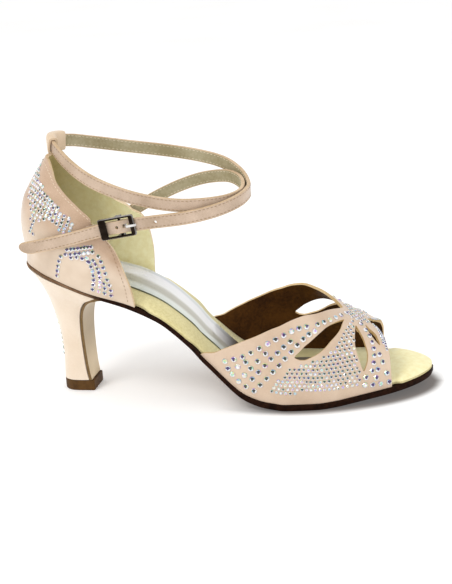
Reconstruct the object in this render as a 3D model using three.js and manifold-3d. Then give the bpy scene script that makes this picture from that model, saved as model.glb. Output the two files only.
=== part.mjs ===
// Ballroom dance shoe, right foot: satin sandal with a flared heel and a double ankle strap.
// Millimetres, +Z up, +X towards the toe, +Y medial. The origin is on the floor under the heel.
import * as THREE from 'three';
import { mergeVertices } from 'three/addons/utils/BufferGeometryUtils.js';
import Module from 'manifold-3d';

const wasm = await Module();
wasm.setup();

// driving dimensions
const soleLength = 220;
const ballWidth = 80;
const seatWidth = 49.2;
const seatHeight = 75.4;
const soleThick = 3.2;
const toeSpring = 6.2;
const swing = 7;
const heelSetback = 25;
const tipHeight = 6;
const tipLength = 18.8;
const tipWidth = 16.8;
const tipFrontWidth = 15.8;
const seatLength = 45;
const flapThick = 1.5;
const insoleThick = 5.2;
const insoleEdge = 2.2;
const crownRun = 14;
const medialLift = 4.6;
const bareMargin = 0.9;
const sockThick = 0.7;
const sockLateral = 9.5;
const sockMedial = 18.5;
const instepRise = 86;
const vampWall = 1.6;
const vampMargin = 1.2;
const counterHeight = 62.7;
const quarterWall = 2;
const quarterMargin = 0.6;
const strapWidth = 6.7;
const strapThick = 1.8;
const strapPoint = 7;
const loopLength = 12.5;
const loopShift = 1.5;
const loopWall = 1.4;
const loopPlay = 0.5;
const buckleLength = 19;
const buckleWidth = 11;
const barThick = 1.5;
const frontBar = 2.6;
const rearBar = 4;
const railWidth = 1.2;
const pinRadius = 0.7;
const prongWidth = 1.2;
const prongThick = 1;
const tabWidth = 5.4;
const tabThick = 1.1;
const tabLength = 18;
const punchRadius = 0.8;
const strapHump = 1.5;
const gap = 0.3;

// outline of the seat: station as a share of the length, half widths as shares of the seat width
const seatRows = [
  { at: 0, lateral: 0, medial: 0 },
  { at: 0.0055, lateral: 0.1484, medial: 0.1484 },
  { at: 0.02, lateral: 0.2724, medial: 0.2724 },
  { at: 0.05, lateral: 0.3902, medial: 0.3902 },
  { at: 0.0932, lateral: 0.4736, medial: 0.4736 },
  { at: 0.15, lateral: 0.5, medial: 0.5 },
  { at: 0.2136, lateral: 0.4756, medial: 0.4797 },
  { at: 0.2773, lateral: 0.4553, medial: 0.4797 },
];

// outline of waist and forefoot, half widths as shares of the ball width
const foreRows = [
  { at: 0.3409, lateral: 0.28, medial: 0.325 },
  { at: 0.4091, lateral: 0.31, medial: 0.3875 },
  { at: 0.4773, lateral: 0.3575, medial: 0.4625 },
  { at: 0.5454, lateral: 0.3975, medial: 0.5275 },
  { at: 0.5909, lateral: 0.415, medial: 0.5625 },
  { at: 0.6409, lateral: 0.4225, medial: 0.5775 },
  { at: 0.6955, lateral: 0.415, medial: 0.57 },
  { at: 0.75, lateral: 0.3925, medial: 0.5425 },
  { at: 0.8182, lateral: 0.345, medial: 0.49 },
  { at: 0.8818, lateral: 0.2825, medial: 0.4175 },
  { at: 0.9318, lateral: 0.2075, medial: 0.3325 },
  { at: 0.9682, lateral: 0.1225, medial: 0.2375 },
  { at: 0.9909, lateral: 0.0325, medial: 0.135 },
  { at: 1, lateral: -0.0488, medial: 0.0488 },
];

// footbed raised towards the inner side: share of the lift, full at the waist
const liftRows = [
  { at: 0, share: 0 },
  { at: 0.05, share: 0 },
  { at: 0.14, share: 0.7 },
  { at: 0.26, share: 1 },
  { at: 0.31, share: 0.8 },
  { at: 0.36, share: 0.4 },
  { at: 0.42, share: 0.2 },
  { at: 0.47, share: 0.08 },
  { at: 0.52, share: 0 },
  { at: 1, share: 0 },
];

// thickness of the sole: thin over the heel, full from the waist on
const thickRows = [
  { at: 0, thick: 0.4 },
  { at: 0.2, thick: 0.44 },
  { at: 0.27, thick: 0.64 },
  { at: 0.4, thick: 0.86 },
  { at: 0.55, thick: 1 },
  { at: 1, thick: 1 },
];

// arch: rise of the sole above the floor as a share of the seat's rise
const archRows = [
  { at: 0, rise: 1 },
  { at: 0.0195, rise: 0.991 },
  { at: 0.0468, rise: 0.9723 },
  { at: 0.0682, rise: 0.9481 },
  { at: 0.0909, rise: 0.9252 },
  { at: 0.1164, rise: 0.8961 },
  { at: 0.1414, rise: 0.865 },
  { at: 0.1745, rise: 0.8227 },
  { at: 0.2045, rise: 0.7895 },
  { at: 0.2363, rise: 0.7617 },
  { at: 0.2637, rise: 0.7371 },
  { at: 0.2955, rise: 0.702 },
  { at: 0.3318, rise: 0.6508 },
  { at: 0.3546, rise: 0.6092 },
  { at: 0.3773, rise: 0.5552 },
  { at: 0.4, rise: 0.4945 },
  { at: 0.4205, rise: 0.432 },
  { at: 0.4409, rise: 0.3562 },
  { at: 0.4637, rise: 0.2852 },
  { at: 0.4864, rise: 0.2132 },
  { at: 0.5091, rise: 0.1454 },
  { at: 0.5318, rise: 0.0887 },
  { at: 0.5546, rise: 0.0527 },
  { at: 0.5818, rise: 0.0249 },
  { at: 0.6091, rise: 0.0095 },
  { at: 0.6318, rise: 0 },
  { at: 1, rise: 0 },
];

// toe spring: lift of the toe as a share of the toe spring
const springRows = [
  { at: 0, lift: 0 },
  { at: 0.7091, lift: 0 },
  { at: 0.75, lift: 0.1 },
  { at: 0.7909, lift: 0.29 },
  { at: 0.8409, lift: 0.5 },
  { at: 0.8864, lift: 0.65 },
  { at: 0.9363, lift: 0.81 },
  { at: 1, lift: 1 },
];

// vamp: height over the sole as a share of the instep rise, middle as a share of the ball width
const vampRows = [
  { at: 0.3542, height: 1.06, middle: 0.05 },
  { at: 0.4227, height: 1, middle: 0.0535 },
  { at: 0.4909, height: 0.9302, middle: 0.0575 },
  { at: 0.5591, height: 0.8605, middle: 0.06 },
  { at: 0.6272, height: 0.7791, middle: 0.0615 },
  { at: 0.6818, height: 0.686, middle: 0.0625 },
  { at: 0.7182, height: 0.5872, middle: 0.0625 },
  { at: 0.75, height: 0.5093, middle: 0.0625 },
  { at: 0.7818, height: 0.4465, middle: 0.056 },
  { at: 0.8091, height: 0.4058, middle: 0.036 },
  { at: 0.8363, height: 0.3651, middle: 0.0188 },
  { at: 0.8591, height: 0.3256, middle: 0.0205 },
  { at: 0.8818, height: 0.2907, middle: 0.0245 },
  { at: 0.9227, height: 0.2326, middle: 0.025 },
  { at: 0.9682, height: 0.1744, middle: 0.025 },
];

// throat and toe edges: station of the vamp's edge against the turn round the foot
const throatRows = [
  { turn: 0, at: 0.4386 },
  { turn: 0.02, at: 0.4682 },
  { turn: 0.04, at: 0.4864 },
  { turn: 0.07, at: 0.5114 },
  { turn: 0.1, at: 0.5363 },
  { turn: 0.13, at: 0.5659 },
  { turn: 0.16, at: 0.5955 },
  { turn: 0.19, at: 0.625 },
  { turn: 0.22, at: 0.651 },
  { turn: 0.25, at: 0.6746 },
  { turn: 0.29, at: 0.7 },
  { turn: 0.34, at: 0.7227 },
  { turn: 0.41, at: 0.7477 },
  { turn: 0.5, at: 0.78 },
];
const toeRows = [
  { turn: 0, at: 0.89 },
  { turn: 0.105, at: 0.8877 },
  { turn: 0.218, at: 0.8855 },
  { turn: 0.301, at: 0.8804 },
  { turn: 0.37, at: 0.8759 },
  { turn: 0.416, at: 0.8659 },
  { turn: 0.453, at: 0.855 },
  { turn: 0.479, at: 0.8441 },
  { turn: 0.5, at: 0.8386 },
];

// cut-outs of one side of the vamp, as closed outlines of station and turn
const cutOuts = {
  long: [
    { at: 0.66, turn: 0.112 },
    { at: 0.6732, turn: 0.135 },
    { at: 0.685, turn: 0.156 },
    { at: 0.6973, turn: 0.179 },
    { at: 0.7209, turn: 0.237 },
    { at: 0.7454, turn: 0.305 },
    { at: 0.7695, turn: 0.366 },
    { at: 0.7795, turn: 0.388 },
    { at: 0.7768, turn: 0.361 },
    { at: 0.7713, turn: 0.315 },
    { at: 0.7613, turn: 0.271 },
    { at: 0.7486, turn: 0.23 },
    { at: 0.7368, turn: 0.194 },
    { at: 0.72, turn: 0.157 },
    { at: 0.6959, turn: 0.123 },
    { at: 0.6846, turn: 0.112 },
    { at: 0.6728, turn: 0.108 },
    { at: 0.6659, turn: 0.109 },
  ],
  leaf: [
    { at: 0.8078, turn: 0.377 },
    { at: 0.8163, turn: 0.339 },
    { at: 0.8241, turn: 0.294 },
    { at: 0.8291, turn: 0.249 },
    { at: 0.8332, turn: 0.206 },
    { at: 0.8327, turn: 0.158 },
    { at: 0.8287, turn: 0.124 },
    { at: 0.8227, turn: 0.098 },
    { at: 0.8136, turn: 0.145 },
    { at: 0.806, turn: 0.203 },
    { at: 0.8032, turn: 0.242 },
    { at: 0.8041, turn: 0.306 },
  ],
  slit: [
    { at: 0.8314, turn: 0.423 },
    { at: 0.8414, turn: 0.394 },
    { at: 0.8532, turn: 0.37 },
    { at: 0.8595, turn: 0.333 },
    { at: 0.8632, turn: 0.277 },
    { at: 0.8541, turn: 0.3 },
    { at: 0.845, turn: 0.33 },
    { at: 0.8363, turn: 0.371 },
  ],
};

// back line of the counter against its height, as a share of the length
const backRows = [
  { up: 0, back: 0.0009 },
  { up: 0.1021, back: 0.0027 },
  { up: 0.2073, back: -0.0005 },
  { up: 0.2903, back: -0.0023 },
  { up: 0.3636, back: -0.0018 },
  { up: 0.4354, back: 0.0009 },
  { up: 0.5088, back: 0.0055 },
  { up: 0.5805, back: 0.0123 },
  { up: 0.6699, back: 0.0259 },
  { up: 0.7416, back: 0.0373 },
  { up: 0.8453, back: 0.0545 },
  { up: 0.9569, back: 0.0732 },
  { up: 1.0207, back: 0.0818 },
];

// bulge of the counter's sides over the sole, as a share of the seat width
const bulgeRows = [
  { up: 0, bulge: 0 },
  { up: 0.1276, bulge: 0.0285 },
  { up: 0.2871, bulge: 0.0488 },
  { up: 0.4785, bulge: 0.0366 },
  { up: 0.638, bulge: 0.0041 },
  { up: 0.7974, bulge: -0.0711 },
  { up: 0.9729, bulge: -0.1728 },
  { up: 1.0207, bulge: -0.2033 },
];

// collar line of each side: height against the way from the back centre to the front corner
const collarRows = {
  lateral: [
    { way: 0, up: 0.968 },
    { way: 0.15, up: 0.975 },
    { way: 0.29, up: 0.971 },
    { way: 0.4563, up: 0.9187 },
    { way: 0.5413, up: 0.857 },
    { way: 0.6263, up: 0.81 },
    { way: 0.7063, up: 0.7687 },
    { way: 0.8038, up: 0.7177 },
    { way: 0.8913, up: 0.6651 },
    { way: 0.9163, up: 0.6236 },
    { way: 1, up: 0.5502 },
  ],
  medial: [
    { way: 0, up: 0.968 },
    { way: 0.13, up: 0.975 },
    { way: 0.2522, up: 0.971 },
    { way: 0.3967, up: 0.91 },
    { way: 0.5446, up: 0.815 },
    { way: 0.6989, up: 0.7177 },
    { way: 0.8109, up: 0.6683 },
    { way: 0.8674, up: 0.6523 },
    { way: 0.913, up: 0.6188 },
    { way: 0.9772, up: 0.6045 },
    { way: 1, up: 0.5837 },
  ],
};

// front edge of each quarter: reach against the share of the edge's height
const frontRows = {
  lateral: [
    { share: 0, reach: 0.98 },
    { share: 0.16, reach: 0.974 },
    { share: 0.29, reach: 0.965 },
    { share: 0.44, reach: 0.945 },
    { share: 0.58, reach: 0.922 },
    { share: 0.7, reach: 0.903 },
    { share: 0.85, reach: 0.867 },
    { share: 1, reach: 0.8 },
  ],
  medial: [
    { share: 0, reach: 0.98 },
    { share: 0.21, reach: 0.975 },
    { share: 0.49, reach: 0.975 },
    { share: 0.65, reach: 0.969 },
    { share: 0.81, reach: 0.956 },
    { share: 0.92, reach: 0.941 },
    { share: 1, reach: 0.92 },
  ],
};

// heel: how far each level has grown from the tip to the seat
const heelRows = [
  { level: 0, back: 0, width: 0 },
  { level: 0.1, back: -0.025, width: 0.003 },
  { level: 0.28, back: -0.056, width: 0.026 },
  { level: 0.45, back: 0.012, width: 0.078 },
  { level: 0.6, back: 0.149, width: 0.183 },
  { level: 0.71, back: 0.273, width: 0.327 },
  { level: 0.81, back: 0.441, width: 0.549 },
  { level: 0.9, back: 0.652, width: 0.784 },
  { level: 0.96, back: 0.826, width: 0.928 },
  { level: 1, back: 1, width: 1 },
];

// breast: front of the heel from the tip up to the seat, reach and width grown from tip to seat
const breastRows = [
  { level: 0, reach: -0.103, width: 0 },
  { level: 0.1105, reach: -0.172, width: 0.02 },
  { level: 0.308, reach: -0.224, width: 0.058 },
  { level: 0.506, reach: -0.241, width: 0.104 },
  { level: 0.664, reach: -0.207, width: 0.162 },
  { level: 0.782, reach: -0.095, width: 0.26 },
  { level: 0.871, reach: 0.138, width: 0.4545 },
  { level: 0.9365, reach: 0.483, width: 0.714 },
  { level: 0.98, reach: 1, width: 0.942 },
];

// route of the strap: share of the length, of the seat width, and of the counter height over the seat
const strapRows = [
  { along: 0.1978, across: 0.54, up: 0.2114 },
  { along: 0.2477, across: 0.5366, up: 0.3238 },
  { along: 0.3305, across: 0.5203, up: 0.4785 },
  { along: 0.3982, across: 0.4797, up: 0.5774 },
  { along: 0.4532, across: 0.4106, up: 0.6316 },
  { along: 0.5091, across: 0.2764, up: 0.6555 },
  { along: 0.5445, across: 0.0854, up: 0.6284 },
  { along: 0.5537, across: -0.1321, up: 0.5821 },
  { along: 0.5327, across: -0.313, up: 0.5598 },
  { along: 0.4909, across: -0.4228, up: 0.5487 },
  { along: 0.4236, across: -0.4797, up: 0.5471 },
  { along: 0.3541, across: -0.4878, up: 0.579 },
  { along: 0.2813, across: -0.4512, up: 0.638 },
  { along: 0.2059, across: -0.3699, up: 0.7321 },
  { along: 0.151, across: -0.2561, up: 0.8373 },
  { along: 0.1045, across: -0.1016, up: 0.9594 },
  { along: 0.09, across: 0.0203, up: 1.0029 },
  { along: 0.1182, across: 0.2236, up: 0.992 },
  { along: 0.1577, across: 0.3659, up: 0.9553 },
  { along: 0.2504, across: 0.4959, up: 0.8916 },
  { along: 0.3495, across: 0.5325, up: 0.8421 },
  { along: 0.4263, across: 0.5041, up: 0.8006 },
  { along: 0.4788, across: 0.435, up: 0.7628 },
  { along: 0.5062, across: 0.3659, up: 0.7313 },
  { along: 0.5292, across: 0.2724, up: 0.6942 },
  { along: 0.5472, across: 0.1748, up: 0.6554 },
  { along: 0.5615, across: 0.0447, up: 0.6181 },
  { along: 0.5677, across: -0.0813, up: 0.5949 },
  { along: 0.5555, across: -0.2967, up: 0.5598 },
  { along: 0.515, across: -0.4553, up: 0.512 },
  { along: 0.4486, across: -0.5366, up: 0.4625 },
  { along: 0.355, across: -0.5589, up: 0.4227 },
  { along: 0.2782, across: -0.561, up: 0.3884 },
  { along: 0.2332, across: -0.565, up: 0.3525 },
  { along: 0.1327, across: -0.5793, up: 0.2632 },
  { along: 0.0364, across: -0.6098, up: 0.201 },
];
const loopRow = 16;
const buckleRow = 32;

// monotone cubic through the rows of a table, from one column to another
function smooth(rows, from, to, fromScale, toScale) {
  const x = rows.map((row) => row[from] * fromScale);
  const y = rows.map((row) => row[to] * toScale);
  return smoothThrough(x, y);
}

function smoothThrough(x, y) {
  const n = x.length;
  const h = [];
  const d = [];
  for (let i = 0; i < n - 1; i++) {
    h.push(x[i + 1] - x[i]);
    d.push((y[i + 1] - y[i]) / h[i]);
  }
  const m = new Array(n).fill(0);
  m[0] = d[0];
  m[n - 1] = d[n - 2];
  for (let i = 1; i < n - 1; i++) {
    if (d[i - 1] * d[i] > 0) {
      const a = 2 * h[i] + h[i - 1];
      const b = h[i] + 2 * h[i - 1];
      m[i] = (a + b) / (a / d[i - 1] + b / d[i]);
    }
  }
  return (value) => {
    const v = Math.min(Math.max(value, x[0]), x[n - 1]);
    let i = 0;
    while (i < n - 2 && v > x[i + 1]) i++;
    const t = (v - x[i]) / h[i];
    const u = 1 - t;
    return y[i] * (1 + 2 * t) * u * u + m[i] * h[i] * t * u * u
      + y[i + 1] * t * t * (3 - 2 * t) - m[i + 1] * h[i] * t * t * u;
  };
}

// half widths of the outline
const outlineAt = [...seatRows, ...foreRows].map((row) => row.at * soleLength);
const lateralAt = smoothThrough(outlineAt, [
  ...seatRows.map((row) => row.lateral * seatWidth),
  ...foreRows.map((row) => row.lateral * ballWidth),
]);
const medialAt = smoothThrough(outlineAt, [
  ...seatRows.map((row) => row.medial * seatWidth),
  ...foreRows.map((row) => row.medial * ballWidth),
]);

// top of the sole
const riseAt = smooth(archRows, 'at', 'rise', soleLength, seatHeight - soleThick);
const liftAt = smooth(springRows, 'at', 'lift', soleLength, toeSpring);
const soleTop = (s) => soleThick + riseAt(s) + liftAt(s);
const thickAt = smooth(thickRows, 'at', 'thick', soleLength, soleThick);

// middle line of the shoe in plan: straight under the heel, then swung towards the medial side
const bendStart = 0.2727 * soleLength;
const bendEnd = 0.5 * soleLength;
const spineStep = 0.5;
const spineTable = [{ x: -heelSetback, y: 0, turn: 0 }];
for (let s = spineStep; s <= soleLength * 1.1; s += spineStep) {
  const t = Math.min(Math.max((s - bendStart) / (bendEnd - bendStart), 0), 1);
  const turn = THREE.MathUtils.degToRad(swing) * t * t * (3 - 2 * t);
  const last = spineTable[spineTable.length - 1];
  spineTable.push({
    x: last.x + Math.cos(turn) * spineStep,
    y: last.y + Math.sin(turn) * spineStep,
    turn,
  });
}

function place(s, y, z) {
  const f = Math.max(s, 0) / spineStep;
  const i = Math.min(Math.floor(f), spineTable.length - 2);
  const t = f - i;
  const a = spineTable[i];
  const b = spineTable[i + 1];
  const turn = a.turn + (b.turn - a.turn) * t;
  return new THREE.Vector3(
    a.x + (b.x - a.x) * t - Math.sin(turn) * y + Math.min(s, 0),
    a.y + (b.y - a.y) * t + Math.cos(turn) * y,
    z,
  );
}

// stations closer together near both ends
function stations(from, to, count, extra = []) {
  const list = [];
  for (let i = 0; i <= count; i++) {
    list.push(from + (to - from) * 0.5 * (1 - Math.cos(Math.PI * i / count)));
  }
  const kept = list.filter((s) => extra.every((e) => Math.abs(s - e) > 0.6));
  return [...kept, ...extra].sort((a, b) => a - b);
}

// a closed mesh from corner positions and triangles: merged, without flat triangles, faces out
function solid(points, faces) {
  const geometry = new THREE.BufferGeometry();
  const flat = [];
  for (const p of points) flat.push(p.x, p.y, p.z);
  geometry.setAttribute('position', new THREE.Float32BufferAttribute(flat, 3));
  geometry.setIndex(faces.flat());
  const merged = mergeVertices(geometry, 1e-4);
  const index = merged.index.array;
  const kept = [];
  for (let i = 0; i < index.length; i += 3) {
    const [a, b, c] = [index[i], index[i + 1], index[i + 2]];
    if (a !== b && b !== c && c !== a) kept.push(a, b, c);
  }
  merged.setIndex(kept);
  return volume(merged) < 0 ? turned(merged) : merged;
}

function volume(geometry) {
  const p = geometry.attributes.position;
  const index = geometry.index.array;
  const [a, b, c] = [new THREE.Vector3(), new THREE.Vector3(), new THREE.Vector3()];
  let sum = 0;
  for (let i = 0; i < index.length; i += 3) {
    a.fromBufferAttribute(p, index[i]);
    b.fromBufferAttribute(p, index[i + 1]);
    c.fromBufferAttribute(p, index[i + 2]);
    sum += a.dot(b.cross(c)) / 6;
  }
  return sum;
}

function turned(geometry) {
  const index = Array.from(geometry.index.array);
  for (let i = 0; i < index.length; i += 3) {
    [index[i + 1], index[i + 2]] = [index[i + 2], index[i + 1]];
  }
  geometry.setIndex(index);
  return geometry;
}

// booleans
function toManifold(geometry) {
  const bare = geometry.clone();
  bare.deleteAttribute('normal');
  bare.deleteAttribute('uv');
  const merged = mergeVertices(bare, 1e-4);
  return new wasm.Manifold(new wasm.Mesh({
    numProp: 3,
    vertProperties: Float32Array.from(merged.attributes.position.array),
    triVerts: Uint32Array.from(merged.index.array),
  }));
}

function fromManifold(shape) {
  const mesh = shape.getMesh();
  const geometry = new THREE.BufferGeometry();
  geometry.setAttribute('position', new THREE.BufferAttribute(Float32Array.from(mesh.vertProperties), 3));
  geometry.setIndex(Array.from(mesh.triVerts));
  return geometry;
}

// quads between neighbouring rows of a grid of point numbers
function stitch(rows, closed = false) {
  const faces = [];
  for (let i = 0; i < rows.length - 1; i++) {
    const n = rows[i].length;
    for (let j = 0; j < (closed ? n : n - 1); j++) {
      const k = (j + 1) % n;
      faces.push([rows[i][j], rows[i + 1][j], rows[i + 1][k]]);
      faces.push([rows[i][j], rows[i + 1][k], rows[i][k]]);
    }
  }
  return faces;
}

// a wall between an outer and an inner grid, with its four rims
function shell(outer, inner) {
  const points = [...outer.flat(), ...inner.flat()];
  const n = outer[0].length;
  const m = outer.length;
  const numbers = (offset) => outer.map((row, i) => row.map((_, j) => offset + i * n + j));
  const out = numbers(0);
  const back = numbers(m * n);
  const faces = stitch(out);
  for (const [a, b, c] of stitch(back)) faces.push([a, c, b]);
  const rim = [];
  for (let j = 0; j < n; j++) rim.push([0, j]);
  for (let i = 1; i < m; i++) rim.push([i, n - 1]);
  for (let j = n - 2; j >= 0; j--) rim.push([m - 1, j]);
  for (let i = m - 2; i > 0; i--) rim.push([i, 0]);
  rim.forEach(([i, j], k) => {
    const [u, v] = rim[(k + 1) % rim.length];
    faces.push([out[i][j], out[u][v], back[u][v]]);
    faces.push([out[i][j], back[u][v], back[i][j]]);
  });
  return solid(points, faces);
}

// a loft through closed rings of as many points, with flat fans as its ends
function loft(rings) {
  const points = rings.flat();
  const n = rings[0].length;
  const rows = rings.map((ring, i) => ring.map((_, j) => i * n + j));
  const faces = stitch(rows, true);
  for (const [ring, flip] of [[rows[0], false], [rows[rows.length - 1], true]]) {
    const middle = new THREE.Vector3();
    for (const number of ring) middle.add(points[number]);
    points.push(middle.multiplyScalar(1 / n));
    const centre = points.length - 1;
    for (let j = 0; j < n; j++) {
      const k = (j + 1) % n;
      faces.push(flip ? [centre, ring[k], ring[j]] : [centre, ring[j], ring[k]]);
    }
  }
  return solid(points, faces);
}

// a surface moved along its own normal, from a function of two parameters
function moved(surface, u, v, distance) {
  const e = 2e-3;
  const du = surface(Math.min(u + e, 1), v).sub(surface(Math.max(u - e, 0), v));
  const dv = surface(u, Math.min(v + e, 1)).sub(surface(u, Math.max(v - e, 0)));
  const normal = du.cross(dv).normalize();
  return surface(u, v).addScaledVector(normal, distance);
}

function gridOf(surface, uList, vList, distance) {
  return uList.map((u) => vList.map((v) => moved(surface, u, v, distance)));
}

const even = (count) => Array.from({ length: count + 1 }, (_, i) => i / count);

// outsole: flat across, straight sides
const treadStart = 0.6318 * soleLength;
const treadEnd = 0.7091 * soleLength;
const soleStations = stations(0, soleLength, 46, [treadStart, treadEnd]);
const soleRings = soleStations.map((s) => {
  const top = soleTop(s);
  return [
    place(s, -lateralAt(s), top),
    place(s, medialAt(s), top),
    place(s, medialAt(s), top - thickAt(s)),
    place(s, -lateralAt(s), top - thickAt(s)),
  ];
});
const soleBody = loft(soleRings);

// room of the sole, which the uppers are trimmed to
const tuck = 0.6;
const soleRoom = toManifold(loft(soleStations.map((s) => {
  const top = soleTop(s) + gap;
  const wide = ballWidth * 0.1;
  return [
    place(s, -lateralAt(s) - wide, top),
    place(s, medialAt(s) + wide, top),
    place(s, medialAt(s) + wide, top - soleThick),
    place(s, -lateralAt(s) - wide, top - soleThick),
  ];
})));

// breast flap: the sole's tongue down the front of the heel
const seatUnder = (x) => soleTop(x + heelSetback) - thickAt(x + heelSetback);
const tipBackX = heelSetback > 0 ? -tipLength * 0.553 : 0;
const tipFrontX = tipBackX + tipLength;
const seatFrontX = seatLength - heelSetback;
const flapFoot = tipHeight + gap;
const flapHead = seatUnder(seatFrontX);
const flapWide = lateralAt(seatLength);
const flapZ = (level) => flapFoot + level * (flapHead - flapFoot);
const breastX = smooth(breastRows, 'level', 'reach', 1, seatFrontX - tipFrontX);
const breastWide = smooth(breastRows, 'level', 'width', 1, flapWide - tipFrontWidth / 2);
const breastFront = (level) => tipFrontX + breastX(level);
const breastHalf = (level) => tipFrontWidth / 2 + breastWide(level);

const flapLevels = [...breastRows.map((row) => row.level), 0.05, 0.2, 0.4, 0.59, 0.73, 0.83, 0.905, 0.96];
flapLevels.sort((a, b) => a - b);
const flapPath = flapLevels.map((level) => ({
  x: breastFront(level),
  z: flapZ(level),
  half: breastHalf(level),
}));
flapPath.push({
  x: seatFrontX + soleThick,
  z: seatUnder(seatFrontX + soleThick) + thickAt(seatLength) * 0.2,
  half: flapWide * 0.97,
});
function flapRing(p, i, back, sideways, forward) {
  const before = flapPath[Math.max(i - 1, 0)];
  const after = flapPath[Math.min(i + 1, flapPath.length - 1)];
  const way = new THREE.Vector2(after.x - before.x, after.z - before.z).normalize();
  const inX = i === 0 ? -1 : -way.y;
  const inZ = i === 0 ? 0 : way.x;
  const half = p.half + sideways;
  return [
    new THREE.Vector3(p.x + forward, -half, p.z),
    new THREE.Vector3(p.x + forward, half, p.z),
    new THREE.Vector3(p.x + inX * back, half, p.z + inZ * back),
    new THREE.Vector3(p.x + inX * back, -half, p.z + inZ * back),
  ];
}
const flapRings = flapPath.map((p, i) => {
  const last = i === flapPath.length - 1;
  return flapRing(p, i, last ? Math.min(flapThick, thickAt(seatLength) * 0.6) : flapThick, 0, 0);
});
const outsole = fromManifold(toManifold(soleBody).add(toManifold(loft(flapRings))));

// heel: D shaped levels between the tip and the seat, its front behind the flap
const heelBack = smooth(heelRows, 'level', 'back', 1, -heelSetback + gap * 2 - tipBackX);
const heelWide = smooth(heelRows, 'level', 'width', 1, seatWidth / 2 - gap * 2 - tipWidth / 2);
const flapLean = smoothThrough(flapPath.map((p) => p.z), flapPath.map((p) => p.x));

function heelRing(level) {
  const bottom = tipHeight + gap;
  const topAt = (x) => seatUnder(x) - gap;
  const zAt = (x) => bottom + (topAt(x) - bottom) * level;
  const back = tipBackX + heelBack(level);
  let front = flapLean(zAt(0));
  for (let i = 0; i < 12; i++) front = (front + flapLean(zAt(front))) / 2;
  const half = tipWidth / 2 + heelWide(level);
  const frontLevel = Math.min((zAt(front) - flapFoot) / (flapHead - flapFoot), 0.98);
  const frontHalf = Math.min(breastHalf(Math.max(frontLevel, 0)), half);
  const round = Math.min(half * 1.12, (front - back) * 0.8);
  const ring = [];
  const count = 16;
  for (let i = 0; i <= count; i++) {
    const angle = -Math.PI / 2 + Math.PI * i / count;
    const reach = Math.pow(Math.abs(Math.cos(angle)), 0.92);
    const side = Math.sign(Math.sin(angle)) * Math.pow(Math.abs(Math.sin(angle)), 0.92);
    const x = back + round * (1 - reach);
    ring.push(new THREE.Vector3(x, side * half, zAt(x)));
  }
  for (const t of [0.4, 0.75, 1]) {
    const x = back + round + (front - back - round) * t;
    const y = half + (frontHalf - half) * t * t;
    ring.push(new THREE.Vector3(x, y, zAt(x)));
  }
  for (const y of [0.35, -0.35]) ring.push(new THREE.Vector3(front, y * frontHalf, zAt(front)));
  for (const t of [1, 0.75, 0.4]) {
    const x = back + round + (front - back - round) * t;
    const y = half + (frontHalf - half) * t * t;
    ring.push(new THREE.Vector3(x, -y, zAt(x)));
  }
  return ring;
}
const heelBlock = loft([0, 0.1, 0.28, 0.45, 0.6, 0.71, 0.81, 0.9, 0.96, 1].map(heelRing));
const flapRoom = loft([
  { ...flapPath[0], z: tipHeight },
  ...flapPath,
].map((p, i) => flapRing(p, Math.max(i - 1, 0), flapThick + gap, ballWidth, soleLength)));
const heel = fromManifold(toManifold(heelBlock).subtract(toManifold(flapRoom)));

// heel tip: D shaped block on the floor
const tipShape = new THREE.Shape();
const tipRound = tipLength * 0.48;
for (let i = 0; i <= 14; i++) {
  const angle = -Math.PI / 2 + Math.PI * i / 14;
  const x = tipBackX + tipRound * (1 - Math.pow(Math.abs(Math.cos(angle)), 0.92));
  const y = Math.sign(Math.sin(angle)) * Math.pow(Math.abs(Math.sin(angle)), 0.92) * tipWidth / 2;
  if (i === 0) tipShape.moveTo(x, y);
  else tipShape.lineTo(x, y);
}
tipShape.lineTo(tipFrontX, tipFrontWidth / 2);
tipShape.lineTo(tipFrontX, -tipFrontWidth / 2);
const heelTip = new THREE.ExtrudeGeometry(tipShape, { depth: tipHeight, bevelEnabled: false });

// insole: crowned footbed, set in under the uppers
const coverBack = 0.3 * soleLength;
const coverFront = throatRows[0].at * soleLength;
const coverToe = toeRows[0].at * soleLength;
const setIn = Math.max(quarterMargin + quarterWall, vampMargin + vampWall) + gap * 2;
const marginAt = smoothThrough(
  [0, coverBack + 1, coverBack + 7, coverFront - 7, coverFront - 1.5, coverToe + 1.5, coverToe + 6, soleLength],
  [setIn, setIn, bareMargin, bareMargin, setIn, setIn, bareMargin, bareMargin],
);
const insoleStart = setIn + 0.4;
const insoleEnd = soleLength - bareMargin;
const insoleHalf = (s, sideAt) => {
  const inner = sideAt(s) - marginAt(s);
  const endIn = Math.max(1 - (s - insoleStart) / 14, 0);
  const round = Math.sqrt(Math.max(1 - endIn * endIn, 0));
  return s < soleLength / 2 ? inner * Math.max(round, 0) : inner;
};

const liftShare = smooth(liftRows, 'at', 'share', soleLength, medialLift);

function footbed(s, across) {
  const near = -insoleHalf(s, lateralAt);
  const far = insoleHalf(s, medialAt);
  const y = near + (far - near) * across;
  const v = Math.abs(across * 2 - 1);
  const run = Math.min((insoleEnd - s) / crownRun, (s - insoleStart) / (crownRun / 2), 1);
  const rise = Math.sin(Math.max(run, 0) * Math.PI / 2);
  const crown = insoleEdge + (insoleThick - insoleEdge) * (1 - Math.pow(v, 3)) * rise;
  const raised = Math.max(liftShare(s), 0) * across * across;
  return { y, z: soleTop(s) + gap + crown + raised };
}

const insoleStations = stations(insoleStart, insoleEnd, 40);
const acrossList = [0, 0.05, 0.14, 0.3, 0.5, 0.7, 0.86, 0.95, 1];
const insoleRings = (lift) => insoleStations.map((s) => {
  const ring = acrossList.map((a) => {
    const p = footbed(s, a);
    return place(s, p.y, p.z + lift);
  });
  const under = soleTop(s) + gap;
  ring.push(place(s, footbed(s, 1).y, under));
  ring.push(place(s, footbed(s, 0).y, under));
  return ring;
});
const insole = loft(insoleRings(0));

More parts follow.
